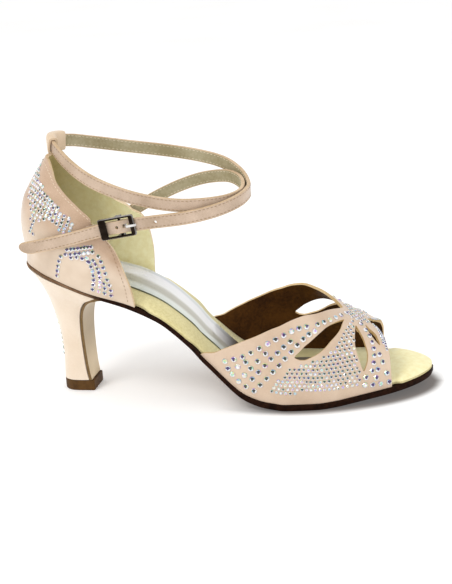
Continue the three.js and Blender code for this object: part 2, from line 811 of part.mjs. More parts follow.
// sock: thin stripe on the footbed, from the heel to under the vamp
const sockFrom = 0.0615 * soleLength;
const sockTo = 0.7376 * soleLength;
function sockPoint(s, share, lift) {
  const nearEdge = -insoleHalf(s, lateralAt);
  const farEdge = insoleHalf(s, medialAt);
  const y = -sockLateral + (sockLateral + sockMedial) * share;
  const across = (y - nearEdge) / (farEdge - nearEdge);
  return place(s, y, footbed(s, across).z + lift);
}
const sockU = insoleStations.filter((s) => s > sockFrom && s < sockTo);
const sockGrid = (lift) => sockU.map((s) => even(4).map((share) => sockPoint(s, share, lift)));
const sockBlock = shell(sockGrid(gap + sockThick), sockGrid(0));
const sock = fromManifold(toManifold(sockBlock).subtract(toManifold(loft(insoleRings(gap)))));

// vamp: sections are flattened arches over the sole
const vampHeight = smooth(vampRows, 'at', 'height', soleLength, instepRise);
const vampMiddle = smooth(vampRows, 'at', 'middle', soleLength, ballWidth);
const throatAt = smooth(throatRows, 'turn', 'at', 1, soleLength);
const toeAt = smooth(toeRows, 'turn', 'at', 1, soleLength);

function arch(s, turn) {
  const angle = turn * Math.PI;
  const c = Math.cos(angle);
  const middle = vampMiddle(s);
  const reach = c > 0 ? middle + lateralAt(s) - vampMargin : medialAt(s) - vampMargin - middle;
  const y = middle - Math.sign(c) * reach * Math.pow(Math.abs(c), 0.8);
  const rise = vampHeight(s) * Math.pow(Math.max(Math.sin(angle), 0), 0.85);
  const down = tuck * Math.max(1 - rise, 0);
  return place(s, y, soleTop(s) + gap + rise - down);
}

function vampSurface(turn, share) {
  const half = Math.min(turn, 1 - turn);
  const from = throatAt(half);
  const to = toeAt(half);
  return arch(from + (to - from) * share, turn);
}

const vampTurns = even(38);
const vampShares = even(13);
const vampShell = shell(
  gridOf(vampSurface, vampTurns, vampShares, 0),
  gridOf(vampSurface, vampTurns, vampShares, vampWall),
);

function cutter(rows, mirrored) {
  const curve = new THREE.CatmullRomCurve3(
    rows.map((row) => new THREE.Vector3(row.at, row.turn, 0)),
    true,
    'centripetal',
  );
  const outline = curve.getPoints(Math.round(rows.length * 1.5)).slice(0, -1);
  const flat = outline.map((p) => new THREE.Vector2(p.x, p.y));
  const level = (distance) => outline.map((p) => {
    const turn = mirrored ? 1 - p.y : p.y;
    const half = Math.min(turn, 1 - turn);
    const from = throatAt(half);
    const share = (p.x * soleLength - from) / (toeAt(half) - from);
    return moved(vampSurface, turn, share, distance);
  });
  const points = [...level(vampWall * 3.5), ...level(-vampWall * 2.5)];
  const n = outline.length;
  const faces = [];
  for (const [a, b, c] of THREE.ShapeUtils.triangulateShape(flat, [])) {
    faces.push([a, b, c]);
    faces.push([a + n, c + n, b + n]);
  }
  const wind = THREE.ShapeUtils.isClockWise(flat) ? 1 : -1;
  for (let i = 0; i < n; i++) {
    const k = (i + 1) % n;
    const [a, b] = wind > 0 ? [i, k] : [k, i];
    faces.push([a, b, b + n]);
    faces.push([a, b + n, a + n]);
  }
  return solid(points, faces);
}

let vampSolid = toManifold(vampShell).subtract(soleRoom);
for (const rows of Object.values(cutOuts)) {
  vampSolid = vampSolid.subtract(toManifold(cutter(rows, false)));
  vampSolid = vampSolid.subtract(toManifold(cutter(rows, true)));
}
const vamp = fromManifold(vampSolid);

// counter and quarters: round at the back, then along the sides to the front edges
const counterMiddleX = 0.15 * soleLength - heelSetback;
const quarterEndX = coverBack - heelSetback;
const roundWay = 0.55;
const squareness = 2.08;
const backAt = smooth(backRows, 'up', 'back', counterHeight, soleLength);
const bulgeAt = smooth(bulgeRows, 'up', 'bulge', counterHeight, seatWidth);
const collarAt = {
  lateral: smooth(collarRows.lateral, 'way', 'up', 1, counterHeight),
  medial: smooth(collarRows.medial, 'way', 'up', 1, counterHeight),
};
const frontAt = {
  lateral: smooth(frontRows.lateral, 'share', 'reach', 1, 1),
  medial: smooth(frontRows.medial, 'share', 'reach', 1, 1),
};

function counterPoint(way, up, side) {
  const angle = Math.min(way / roundWay, 1) * Math.PI / 2;
  const back = backAt(up) - heelSetback;
  const x = way < roundWay
    ? counterMiddleX - (counterMiddleX - back) * Math.pow(Math.abs(Math.cos(angle)), 2 / squareness)
    : counterMiddleX + (quarterEndX - counterMiddleX) * (way - roundWay) / (1 - roundWay);
  const s = Math.max(x, counterMiddleX) + heelSetback;
  const wide = (side < 0 ? lateralAt(s) : medialAt(s)) - quarterMargin + bulgeAt(up);
  const y = side * wide * (way < roundWay ? Math.pow(Math.sin(angle), 2 / squareness) : 1);
  const down = tuck * Math.max(1 - up, 0);
  return new THREE.Vector3(x, y, soleTop(x + heelSetback) + gap + up - down);
}

function quarterSurface(u, v) {
  const run = u * 2 - 1;
  const name = run < 0 ? 'lateral' : 'medial';
  const way = Math.abs(run) * frontAt[name](v);
  const up = v * collarAt[name](Math.abs(run));
  return counterPoint(way, up, run < 0 ? -1 : 1);
}

const quarterU = even(54);
const quarterV = [0, 0.1, 0.2, 0.3, 0.4, 0.5, 0.6, 0.7, 0.8, 0.9, 1];
const quarterShell = shell(
  gridOf(quarterSurface, quarterU, quarterV, 0),
  gridOf(quarterSurface, quarterU, quarterV, quarterWall),
);
const quarter = fromManifold(toManifold(quarterShell).subtract(soleRoom));

// route of the ankle strap
const loopSeat = seatHeight + counterHeight * 0.04;
const strapKnots = strapRows.map((row) => new THREE.Vector3(
  row.along * soleLength - heelSetback,
  row.across * seatWidth,
  seatHeight + row.up * counterHeight,
));
const strapCurve = new THREE.CatmullRomCurve3(strapKnots, false, 'centripetal');
const strapLengths = strapCurve.getLengths(1200);
const strapTotal = strapLengths[strapLengths.length - 1];
const up = new THREE.Vector3(0, 0, 1);

function strapFrame(length) {
  const share = Math.min(Math.max(length / strapTotal, 0), 1);
  const t = strapCurve.getUtoTmapping(share);
  const point = strapCurve.getPoint(t);
  const tangent = strapCurve.getTangent(t);
  const wide = up.clone().addScaledVector(tangent, -up.dot(tangent)).normalize();
  const out = new THREE.Vector3().crossVectors(tangent, wide).normalize();
  return { point, tangent, wide, out };
}

function lengthAtKnot(number) {
  const wanted = number / (strapRows.length - 1);
  return strapLengths[Math.round(wanted * 1200)];
}

function strapPlace(length, wide, out) {
  const frame = strapFrame(length);
  return frame.point.clone().addScaledVector(frame.wide, wide).addScaledVector(frame.out, out);
}

// buckle on the strap: local x along the strap to the front, y up, z outwards
const buckleAt = lengthAtKnot(buckleRow);
const buckleFrame = strapFrame(buckleAt);
const frontWay = buckleFrame.tangent.clone().negate();
const outWay = new THREE.Vector3().crossVectors(frontWay, buckleFrame.wide).normalize();
const buckleTurn = new THREE.Quaternion().setFromRotationMatrix(
  new THREE.Matrix4().makeBasis(frontWay, buckleFrame.wide, outWay),
);
const halfLong = buckleLength / 2;
const halfWide = buckleWidth / 2;
const windowTop = halfWide - railWidth;
const windowFront = halfLong - frontBar;
const windowBack = -halfLong + rearBar;
const pinX = (windowFront + windowBack) / 2;
const barZ = strapThick / 2 + gap;
const eyeRadius = pinRadius + gap + Math.max(prongThick, tabThick);
const pinZ = strapHump - strapThick / 2 - gap - eyeRadius;

// the strap humps over the pin between the two bars
function humpAt(length) {
  const away = Math.abs(buckleAt - length - pinX) / (windowFront - pinX);
  return away < 1 ? strapHump * Math.cos(away * Math.PI / 2) ** 2 : 0;
}

const strapSteps = 104;
const loopMiddle = lengthAtKnot(loopRow) + loopShift;
const tightTurn = loopLength * 1.2;
const strapAt = even(strapSteps).map((t) => strapTotal * t)
  .filter((length) => Math.abs(length - loopMiddle) > tightTurn)
  .filter((length) => Math.abs(length - buckleAt) > halfLong);
for (const t of even(14)) strapAt.push(buckleAt + (t * 2 - 1) * halfLong);
for (const t of even(16)) strapAt.push(loopMiddle + (t * 2 - 1) * tightTurn);
for (const share of [0.7, 0.4, 0.2, 0.08]) strapAt.push(strapTotal - strapPoint * share);
strapAt.sort((a, b) => a - b);
// round fall of the strap's edges at its free end: 0 at the tip, 1 from the share 1 on
const rounded = (t) => Math.sqrt(1 - (1 - Math.min(t, 1)) ** 2);
const strapRings = strapAt.map((length) => {
  const left = (strapTotal - length) / strapPoint;
  const top = strapWidth / 2 * (0.45 + 0.55 * rounded(left * 3));
  const bottom = -strapWidth / 2 * (rounded(left) * 1.3 - 0.3);
  const inner = strapThick / 2 - humpAt(length);
  const outer = -strapThick / 2 - humpAt(length);
  return [
    strapPlace(length, top, inner),
    strapPlace(length, top, outer),
    strapPlace(length, bottom, outer),
    strapPlace(length, bottom, inner),
  ];
});

function boxAt(x0, x1, y0, y1, z0, z1) {
  const box = new THREE.BoxGeometry(x1 - x0, y1 - y0, z1 - z0);
  box.translate((x0 + x1) / 2, (y0 + y1) / 2, (z0 + z1) / 2);
  return box;
}

function rod(radius, length, sides) {
  return new THREE.CylinderGeometry(radius, radius, length, sides);
}

const corner = 0.7;
const frameShape = new THREE.Shape([
  new THREE.Vector2(-halfLong + corner, -halfWide),
  new THREE.Vector2(halfLong - corner, -halfWide),
  new THREE.Vector2(halfLong, -halfWide + corner),
  new THREE.Vector2(halfLong, halfWide - corner),
  new THREE.Vector2(halfLong - corner, halfWide),
  new THREE.Vector2(-halfLong + corner, halfWide),
  new THREE.Vector2(-halfLong, halfWide - corner),
  new THREE.Vector2(-halfLong, -halfWide + corner),
]);
frameShape.holes.push(new THREE.Path([
  new THREE.Vector2(windowBack, -windowTop),
  new THREE.Vector2(windowBack, windowTop),
  new THREE.Vector2(windowFront, windowTop),
  new THREE.Vector2(windowFront, -windowTop),
]));
const frameBody = new THREE.ExtrudeGeometry(frameShape, { depth: barThick, bevelEnabled: false });
frameBody.translate(0, 0, barZ);
const lugHalf = pinRadius + 0.9;
let buckleSolid = toManifold(frameBody);
for (const side of [-1, 1]) {
  const [a, b] = side > 0 ? [windowTop, halfWide] : [-halfWide, -windowTop];
  const lug = boxAt(pinX - lugHalf, pinX + lugHalf, a, b, pinZ - pinRadius - 0.3, barZ + barThick * 0.5);
  buckleSolid = buckleSolid.add(toManifold(lug));
}
const pin = rod(pinRadius, windowTop * 2 + railWidth, 10);
pin.translate(pinX, 0, pinZ);
const buckle = fromManifold(buckleSolid.add(toManifold(pin)));

// prong: an eye round the pin, up through the strap and over the front bar
const eye = rod(pinRadius + gap + prongThick, prongWidth, 14);
eye.translate(pinX, 0, pinZ);
const stepX = pinX + eyeRadius + 1.4;
const restZ = barZ + barThick + gap;
const prongLine = [
  [pinX + eyeRadius * 0.6, pinZ],
  [stepX - 0.9, pinZ + 0.3],
  [stepX - 0.1, pinZ + 1.2],
  [stepX + 0.6, restZ - 0.5],
  [stepX + 1.3, restZ + prongThick * 0.4],
  [stepX + 2.2, restZ + prongThick * 0.5],
  [halfLong + 0.3, restZ + prongThick * 0.5],
  [halfLong + 1.1, restZ + prongThick * 0.2],
];
const prongRings = prongLine.map(([x, z], i) => {
  const before = prongLine[Math.max(i - 1, 0)];
  const after = prongLine[Math.min(i + 1, prongLine.length - 1)];
  const way = new THREE.Vector2(after[0] - before[0], after[1] - before[1]).normalize();
  const half = prongThick / 2 * (i === prongLine.length - 1 ? 0.6 : 1);
  const nx = -way.y * half;
  const nz = way.x * half;
  const w = prongWidth / 2;
  return [
    new THREE.Vector3(x + nx, w, z + nz),
    new THREE.Vector3(x + nx, -w, z + nz),
    new THREE.Vector3(x - nx, -w, z - nz),
    new THREE.Vector3(x - nx, w, z - nz),
  ];
});
const pinHole = rod(pinRadius + gap, prongWidth * 3, 14);
pinHole.translate(pinX, 0, pinZ);
const prong = fromManifold(
  toManifold(loft(prongRings)).add(toManifold(eye)).subtract(toManifold(pinHole)),
);

// strap: ribbon with the slot of the prong and a punched hole behind it
const strapLocal = new THREE.Matrix4().compose(
  buckleFrame.point,
  buckleTurn,
  new THREE.Vector3(1, 1, 1),
);
const slotHalf = prongWidth / 2 + gap;
const slotDeep = strapThick + strapHump;
const slot = boxAt(stepX - 1 - gap, stepX + 1.3 + gap, -slotHalf, slotHalf, -slotDeep, slotDeep);
slot.applyMatrix4(strapLocal);
const punch = rod(punchRadius, slotDeep * 2, 12);
punch.rotateX(Math.PI / 2);
punch.translate(pinX - 0.8, 0, 0);
punch.applyMatrix4(strapLocal);
const strap = fromManifold(
  toManifold(loft(strapRings)).subtract(toManifold(slot)).subtract(toManifold(punch)),
);

// heel loop: a short sleeve round the strap on top of the counter
function loopRing(length, grow) {
  const halfWideHere = strapWidth / 2 + loopPlay + grow;
  const halfThick = strapThick / 2 + loopPlay + grow;
  const cut = 0.5 + grow * 0.6;
  const corners = [
    [halfWideHere, halfThick - cut],
    [halfWideHere - cut, halfThick],
    [-halfWideHere + cut, halfThick],
    [-halfWideHere, halfThick - cut],
    [-halfWideHere, -halfThick + cut],
    [-halfWideHere + cut, -halfThick],
    [halfWideHere - cut, -halfThick],
    [halfWideHere, -halfThick + cut],
  ];
  return corners.map(([wide, out]) => strapPlace(length, wide, out));
}
const loopAt = even(8).map((t) => loopMiddle + (t - 0.5) * loopLength);
const loopOuter = loft(loopAt.map((length) => loopRing(length, loopWall)));
const loopLonger = even(8).map((t) => loopMiddle + (t - 0.5) * (loopLength + 2));
const loopInner = loft(loopLonger.map((length) => loopRing(length, 0)));
const heelLoop = fromManifold(toManifold(loopOuter).subtract(toManifold(loopInner)));

// buckle tab: strip between the lateral quarter and the strap, looped round the pin
const tabInner = pinRadius + gap;
const tabOuter = tabInner + tabThick;
const tabRing = new THREE.Shape();
const tabTop = -strapThick / 2 - gap;
const tabUnder = tabTop - tabThick;
const tabFrom = Math.PI + Math.asin((pinZ - tabUnder) / tabOuter);
const tabTo = Math.PI * 3 - Math.asin((tabTop - pinZ) / tabOuter);
tabRing.moveTo(pinX - tabLength, tabTop);
tabRing.lineTo(pinX - tabLength, tabUnder);
for (const t of even(14)) {
  const angle = tabFrom + (tabTo - tabFrom) * t;
  tabRing.lineTo(pinX + tabOuter * Math.cos(angle), pinZ + tabOuter * Math.sin(angle));
}
const tabEye = new THREE.Path();
tabEye.absarc(pinX, pinZ, tabInner, 0, Math.PI * 2, true);
tabRing.holes.push(tabEye);
const tabBody = new THREE.ExtrudeGeometry(tabRing, { depth: tabWidth, bevelEnabled: false, curveSegments: 12 });
tabBody.translate(0, 0, -tabWidth / 2);
tabBody.rotateX(Math.PI / 2);
const notchBack = pinX - eyeRadius - gap;
const notch = boxAt(notchBack, pinX + eyeRadius * 2, -slotHalf, slotHalf, pinZ - eyeRadius * 2, pinZ + eyeRadius * 2);
const buckleTab = fromManifold(toManifold(tabBody).subtract(toManifold(notch)));

// scene graph
const satin = new THREE.MeshStandardMaterial({ color: 0xe0c4aa, roughness: 0.42, metalness: 0 });
const satinLight = new THREE.MeshStandardMaterial({ color: 0xeed6bd, roughness: 0.4, metalness: 0 });
const brownLeather = new THREE.MeshStandardMaterial({ color: 0x5a3d22, roughness: 0.6, metalness: 0 });
const tipBrown = new THREE.MeshStandardMaterial({ color: 0x5f411e, roughness: 0.55, metalness: 0 });
const suede = new THREE.MeshStandardMaterial({ color: 0xebe4a5, roughness: 0.9, metalness: 0 });
const silver = new THREE.MeshStandardMaterial({ color: 0xc8cdc8, roughness: 0.3, metalness: 0.6 });
const darkMetal = new THREE.MeshStandardMaterial({ color: 0x1e140f, roughness: 0.25, metalness: 0.9 });
const brightMetal = new THREE.MeshStandardMaterial({ color: 0xbfb9b8, roughness: 0.2, metalness: 1 });

const shoe = new THREE.Group();
function addPiece(name, geometry, material, parent = shoe) {
  const mesh = new THREE.Mesh(geometry, material);
  mesh.name = name;
  parent.add(mesh);
  return mesh;
}
addPiece('outsole', outsole, brownLeather);
addPiece('heel', heel, satinLight);
addPiece('heel_tip', heelTip, tipBrown);
addPiece('insole', insole, suede);
addPiece('sock', sock, silver);
addPiece('vamp', vamp, satin);
addPiece('quarter', quarter, satin);
addPiece('heel_loop', heelLoop, satin);
addPiece('ankle_strap', strap, satin);
const fastening = new THREE.Group();
fastening.position.copy(buckleFrame.point);
fastening.quaternion.copy(buckleTurn);
shoe.add(fastening);
addPiece('buckle_frame', buckle, darkMetal, fastening);
addPiece('prong', prong, brightMetal, fastening);
addPiece('buckle_tab', buckleTab, satin, fastening);

export default shoe;
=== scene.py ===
import math

import bmesh
import bpy
import numpy as np
from mathutils import Matrix, Vector, geometry


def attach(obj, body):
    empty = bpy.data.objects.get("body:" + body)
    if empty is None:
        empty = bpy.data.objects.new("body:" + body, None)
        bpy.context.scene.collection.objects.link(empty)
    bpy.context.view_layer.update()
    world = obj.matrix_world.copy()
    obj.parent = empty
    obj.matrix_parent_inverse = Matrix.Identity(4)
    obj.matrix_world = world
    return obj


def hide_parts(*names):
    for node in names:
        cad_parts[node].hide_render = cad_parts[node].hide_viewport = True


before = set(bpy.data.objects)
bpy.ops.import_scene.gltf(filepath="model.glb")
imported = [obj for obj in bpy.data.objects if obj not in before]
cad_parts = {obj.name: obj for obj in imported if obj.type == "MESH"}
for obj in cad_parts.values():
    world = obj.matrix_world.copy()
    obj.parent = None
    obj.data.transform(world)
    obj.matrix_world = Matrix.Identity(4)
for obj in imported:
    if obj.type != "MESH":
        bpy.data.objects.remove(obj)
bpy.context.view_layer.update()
print("frame loaded")

mm = 0.001

# driving sizes of the shoe, in millimetres
shoe = dict(
    soleLength=220, ballWidth=80, seatWidth=49.2, seatHeight=75.4, soleThick=3.2, toeSpring=6.2,
    swing=7, setback=25, seatLength=45, flapThick=1.5, gap=0.3, instepRise=86, counterHeight=62.7,
    swingFrom=0.2727, swingTo=0.5,
)
foldAngle = 50

# outline: station as a share of the length, half widths as shares of the seat width, then of the ball width
seatRows = np.array([
    (0, 0, 0), (0.0055, 0.1484, 0.1484), (0.02, 0.2724, 0.2724), (0.05, 0.3902, 0.3902),
    (0.0932, 0.4736, 0.4736), (0.15, 0.5, 0.5), (0.2136, 0.4756, 0.4797), (0.2773, 0.4553, 0.4797),
])
foreRows = np.array([
    (0.3409, 0.28, 0.325), (0.4091, 0.31, 0.3875), (0.4773, 0.3575, 0.4625), (0.5454, 0.3975, 0.5275),
    (0.5909, 0.415, 0.5625), (0.6409, 0.4225, 0.5775), (0.6955, 0.415, 0.57), (0.75, 0.3925, 0.5425),
    (0.8182, 0.345, 0.49), (0.8818, 0.2825, 0.4175), (0.9318, 0.2075, 0.3325), (0.9682, 0.1225, 0.2375),
    (0.991, 0.0325, 0.135), (1, -0.0488, 0.0488),
])

# sole: station against thickness, arch rise and toe lift, as shares of their sizes
thickRows = np.array([(0, 0.4), (0.2, 0.44), (0.27, 0.64), (0.4, 0.86), (0.55, 1), (1, 1)])
archRows = np.array([
    (0, 1), (0.0195, 0.991), (0.0468, 0.9723), (0.0682, 0.9481), (0.0909, 0.9252), (0.1164, 0.8961),
    (0.1414, 0.865), (0.1745, 0.8227), (0.2045, 0.7895), (0.2363, 0.7617), (0.2637, 0.7371),
    (0.2955, 0.702), (0.3318, 0.6508), (0.3546, 0.6092), (0.3773, 0.5552), (0.4, 0.4945), (0.4205, 0.432),
    (0.4409, 0.3562), (0.4637, 0.2852), (0.4864, 0.2132), (0.5091, 0.1454), (0.5318, 0.0887),
    (0.5546, 0.0527), (0.5818, 0.0249), (0.6091, 0.0095), (0.6318, 0), (1, 0),
])
springRows = np.array([
    (0, 0), (0.7091, 0), (0.75, 0.1), (0.7909, 0.29), (0.8409, 0.5), (0.8864, 0.65), (0.9363, 0.81),
    (1, 1),
])


# monotone cubic through a table, worked out for whole arrays at once
def smoothThrough(x, y):
    x, y = np.asarray(x, float), np.asarray(y, float)
    step = np.diff(x)
    slope = np.diff(y) / step
    lean = np.zeros(len(x))
    lean[0], lean[-1] = slope[0], slope[-1]
    a = 2 * step[1:] + step[:-1]
    b = step[1:] + 2 * step[:-1]
    same = slope[:-1] * slope[1:] > 0
    both = (a + b)[same] / (a[same] / slope[:-1][same] + b[same] / slope[1:][same])
    lean[1:-1][same] = both

    def at(value):
        v = np.clip(value, x[0], x[-1])
        i = np.clip(np.searchsorted(x, v, side="right") - 1, 0, len(x) - 2)
        t = (v - x[i]) / step[i]
        u = 1 - t
        return (
            y[i] * (1 + 2 * t) * u * u + lean[i] * step[i] * t * u * u
            + y[i + 1] * t * t * (3 - 2 * t) - lean[i + 1] * step[i] * t * t * u
        )

    return at


def smoothTable(rows, column, fromScale, toScale):
    return smoothThrough(rows[:, 0] * fromScale, rows[:, column] * toScale)


outlineAt = np.concatenate([seatRows[:, 0], foreRows[:, 0]]) * shoe["soleLength"]
lateralAt = smoothThrough(outlineAt, np.concatenate([
    seatRows[:, 1] * shoe["seatWidth"], foreRows[:, 1] * shoe["ballWidth"]]))
medialAt = smoothThrough(outlineAt, np.concatenate([
    seatRows[:, 2] * shoe["seatWidth"], foreRows[:, 2] * shoe["ballWidth"]]))
thickAt = smoothTable(thickRows, 1, shoe["soleLength"], shoe["soleThick"])
riseAt = smoothTable(archRows, 1, shoe["soleLength"], shoe["seatHeight"] - shoe["soleThick"])
liftAt = smoothTable(springRows, 1, shoe["soleLength"], shoe["toeSpring"])


def soleTop(s):
    return shoe["soleThick"] + riseAt(s) + liftAt(s)


# middle line in plan: straight under the heel, then swung to the inner side
spineStep = 0.5
spineS = np.arange(0, shoe["soleLength"] * 1.1, spineStep)
bend = (spineS / shoe["soleLength"] - shoe["swingFrom"]) / (shoe["swingTo"] - shoe["swingFrom"])
bend = np.clip(bend, 0, 1)
spineTurn = math.radians(shoe["swing"]) * bend**2 * (3 - 2 * bend)
spineX = -shoe["setback"] + np.concatenate([[0], np.cumsum(np.cos(spineTurn[1:]) * spineStep)])
spineY = np.concatenate([[0], np.cumsum(np.sin(spineTurn[1:]) * spineStep)])


# a point of the shoe from its station, its distance to the inner side and its height
def place(s, y, z):
    s = np.asarray(s, float)
    inner = np.maximum(s, 0)
    turn = np.interp(inner, spineS, spineTurn)
    x = np.interp(inner, spineS, spineX) - np.sin(turn) * y + np.minimum(s, 0)
    across = np.interp(inner, spineS, spineY) + np.cos(turn) * y
    return np.stack(np.broadcast_arrays(x, across, z), -1)


def cosSpaced(start, end, count):
    return start + (end - start) * 0.5 * (1 - np.cos(np.pi * np.arange(count + 1) / count))


def fullTurn(count):
    return np.linspace(0, 2 * np.pi, count, endpoint=False)


# each vector over its own length
def unit(vectors):
    return vectors / np.linalg.norm(vectors, axis=-1, keepdims=True)


# a power of the size that keeps the sign
def powered(values, power):
    return np.sign(values) * np.abs(values) ** power


# length run through at each point of a line
def lengthAlong(line):
    return np.concatenate([[0], np.cumsum(np.linalg.norm(np.diff(line, axis=0), axis=-1))])


def interpLine(at, length, line):
    return np.stack([np.interp(at, length, line[:, k]) for k in range(3)], -1)


# quads of a grid of points that is numbered row by row
def gridFaces(rows, columns, closed=False, start=0):
    number = np.arange(rows * columns).reshape(rows, columns) + start
    if closed:
        number = np.hstack([number, number[:, :1]])
    corners = [number[:-1, :-1], number[1:, :-1], number[1:, 1:], number[:-1, 1:]]
    return np.stack(corners, -1).reshape(-1, 4)


# first and last row of such a grid as one face each
def endFaces(rows, columns):
    return np.array([np.arange(columns)[::-1], np.arange(columns) + (rows - 1) * columns])


# a flat outline at one height
def levelRing(outline, z):
    return np.column_stack([outline, np.full(len(outline), z)])


# a mesh piece from points in millimetres and groups of faces, one material number for each group
def makePiece(name, points, groups, materials, layers=None, sharpAngle=35, tidy=True):
    mesh = bpy.data.meshes.new(name)
    faces = [face for group, _ in groups for face in np.asarray(group).tolist()]
    mesh.from_pydata((np.asarray(points).reshape(-1, 3) * mm).tolist(), [], faces)
    numbers = np.concatenate([np.full(len(group), number) for group, number in groups])
    mesh.polygons.foreach_set("material_index", numbers.astype(np.int32))
    for layer, values in (layers or {}).items():
        attribute = mesh.attributes.new(layer, "FLOAT", "POINT")
        attribute.data.foreach_set("value", np.asarray(values, np.float32).ravel())
    if tidy:
        form = bmesh.new()
        form.from_mesh(mesh)
        bmesh.ops.remove_doubles(form, verts=form.verts, dist=2e-6)
        bmesh.ops.recalc_face_normals(form, faces=form.faces)
        form.to_mesh(mesh)
        form.free()
    mesh.polygons.foreach_set("use_smooth", np.ones(len(mesh.polygons), bool))
    mesh.set_sharp_from_angle(angle=math.radians(sharpAngle))
    for material in materials:
        mesh.materials.append(material)
    piece = bpy.data.objects.new(name, mesh)
    bpy.context.scene.collection.objects.link(piece)
    return piece


def fitPiece(piece, slot, *nodes):
    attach(piece, "root")
    if nodes:
        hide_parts(*nodes)
    return piece


# rings of one length joined into a closed body; bands give the material number of each side
def loftPiece(name, rings, materials, bands=None, caps=0, layers=None, sharpAngle=35):
    rows, columns = rings.shape[:2]
    sides = gridFaces(rows, columns, closed=True)
    bands = np.zeros(columns, int) if bands is None else np.asarray(bands)
    number = np.tile(bands, rows - 1)
    groups = [(sides[number == n], n) for n in np.unique(number)]
    groups.append((endFaces(rows, columns), caps))
    return makePiece(name, rings, groups, materials, layers, sharpAngle)


# surface points moved along the surface's own normal, by central differences
def movedGrid(surface, u, v, distance):
    step = 1e-3
    along = surface(np.minimum(u + step, 1), v) - surface(np.maximum(u - step, 0), v)
    up = surface(u, np.minimum(v + step, 1)) - surface(u, np.maximum(v - step, 0))
    return surface(u, v) + unit(np.cross(along, up)) * distance


# a wall between an outer and an inner skin that share their faces, with rims and, if asked, folded edges
def wallPiece(name, outer, inner, faces, materials, layers, bevel=0.0):
    count = len(outer)
    sides = faces.shape[1]
    edges = np.concatenate([faces[:, [i, (i + 1) % sides]] for i in range(sides)])
    key = np.sort(edges, 1)
    _, first, repeats = np.unique(key, axis=0, return_index=True, return_counts=True)
    rim = edges[first[repeats == 1]]
    rimFaces = np.stack([rim[:, 1], rim[:, 0], rim[:, 0] + count, rim[:, 1] + count], -1)
    groups = [(faces, 0), (faces[:, ::-1] + count, 1), (rimFaces, 2)]
    layers = {layer: np.concatenate([values, values]) for layer, values in layers.items()}
    piece = makePiece(name, np.concatenate([outer, inner]), groups, materials, layers, foldAngle)
    if bevel:
        edge = piece.modifiers.new("foldedEdge", "BEVEL")
        edge.width = bevel * mm
        edge.segments = 2
        edge.limit_method = "ANGLE"
        edge.angle_limit = math.radians(foldAngle)
    return piece


# sole: flat across, its edge softened by a bevel that stays within shares of its thickness and width
sole = dict(stations=220, bevel=0.3, thickShare=0.25, widthShare=0.3)


def buildOutsole():
    s = cosSpaced(0, shoe["soleLength"], sole["stations"])[:, None]
    left, right = -lateralAt(s), medialAt(s)
    top = soleTop(s)
    bottom = top - thickAt(s)
    r = np.minimum(sole["bevel"], thickAt(s) * sole["thickShare"])
    r = np.minimum(r, (right - left) * sole["widthShare"])
    y = np.hstack([left + r, left, left, left + r, right - r, right, right, right - r])
    z = np.hstack([top, top - r, bottom + r, bottom, bottom, bottom + r, top - r, top])
    bands = [0, 0, 0, 1, 0, 0, 0, 0]
    piece = loftPiece("outsole_leather", place(s, y, z), [soleEdge(), grained("soleSuede")], bands)
    return fitPiece(piece, "sole_leather", "outsole")


# tables up the heel: level against place, half width; for the breast from the tip's front to the seat's
# front, for the heel from the tip to the seat
breastRows = np.array([
    (0, -0.103, 0), (0.1105, -0.172, 0.02), (0.308, -0.224, 0.058), (0.506, -0.241, 0.104),
    (0.664, -0.207, 0.162), (0.782, -0.095, 0.26), (0.871, 0.138, 0.4545), (0.9365, 0.483, 0.714),
    (0.98, 1, 0.942),
])
heelRows = np.array([
    (0, 0, 0), (0.1, -0.025, 0.003), (0.28, -0.056, 0.026), (0.45, 0.012, 0.078), (0.6, 0.149, 0.183),
    (0.71, 0.273, 0.327), (0.81, 0.441, 0.549), (0.9, 0.652, 0.784), (0.96, 0.826, 0.928), (1, 1, 1),
])
heel = dict(
    tipHeight=6, tipLength=18.8, tipWidth=16.8, tipFrontWidth=15.8, tipBehind=0.553, tipBow=0.48,
    levels=60, backPoints=49, sidePoints=13, frontPoints=11, roundness=0.92, bowWide=1.12, bowDeep=0.8,
    rounds=25,
)
tongue = dict(
    levels=(40, 24), spans=((0, 0.85), (0.86, 0.98)), edge=0.3, endSink=0.2, endWide=0.97, endThick=0.6,
)
tipBack = -heel["tipLength"] * heel["tipBehind"]
tipFront = tipBack + heel["tipLength"]
seatFront = shoe["seatLength"] - shoe["setback"]


def seatUnder(x):
    s = x + shoe["setback"]
    return soleTop(s) - thickAt(s)


heelFoot = heel["tipHeight"] + shoe["gap"]
flapHead = float(seatUnder(seatFront))
flapWide = float(lateralAt(shoe["seatLength"]))
breastFrom = smoothTable(breastRows, 1, 1, seatFront - tipFront)
breastWide = smoothTable(breastRows, 2, 1, flapWide - heel["tipFrontWidth"] / 2)
heelBack = smoothTable(heelRows, 1, 1, -shoe["setback"] + shoe["gap"] * 2 - tipBack)
heelWide = smoothTable(heelRows, 2, 1, shoe["seatWidth"] / 2 - shoe["gap"] * 2 - heel["tipWidth"] / 2)


def heelHeight(x, level):
    return heelFoot + (seatUnder(x) - shoe["gap"] - heelFoot) * level


# the tongue's front line: place, height and half width from the tip up to the seat
def tonguePath():
    spans = zip(tongue["spans"], tongue["levels"])
    level = np.concatenate([np.linspace(start, end, count) for (start, end), count in spans])
    x = tipFront + breastFrom(level)
    z = heelFoot + level * (flapHead - heelFoot)
    half = heel["tipFrontWidth"] / 2 + breastWide(level)
    lastX = seatFront + shoe["soleThick"]
    lastZ = seatUnder(lastX) + float(thickAt(shoe["seatLength"])) * tongue["endSink"]
    return np.append(x, lastX), np.append(z, lastZ), np.append(half, flapWide * tongue["endWide"])


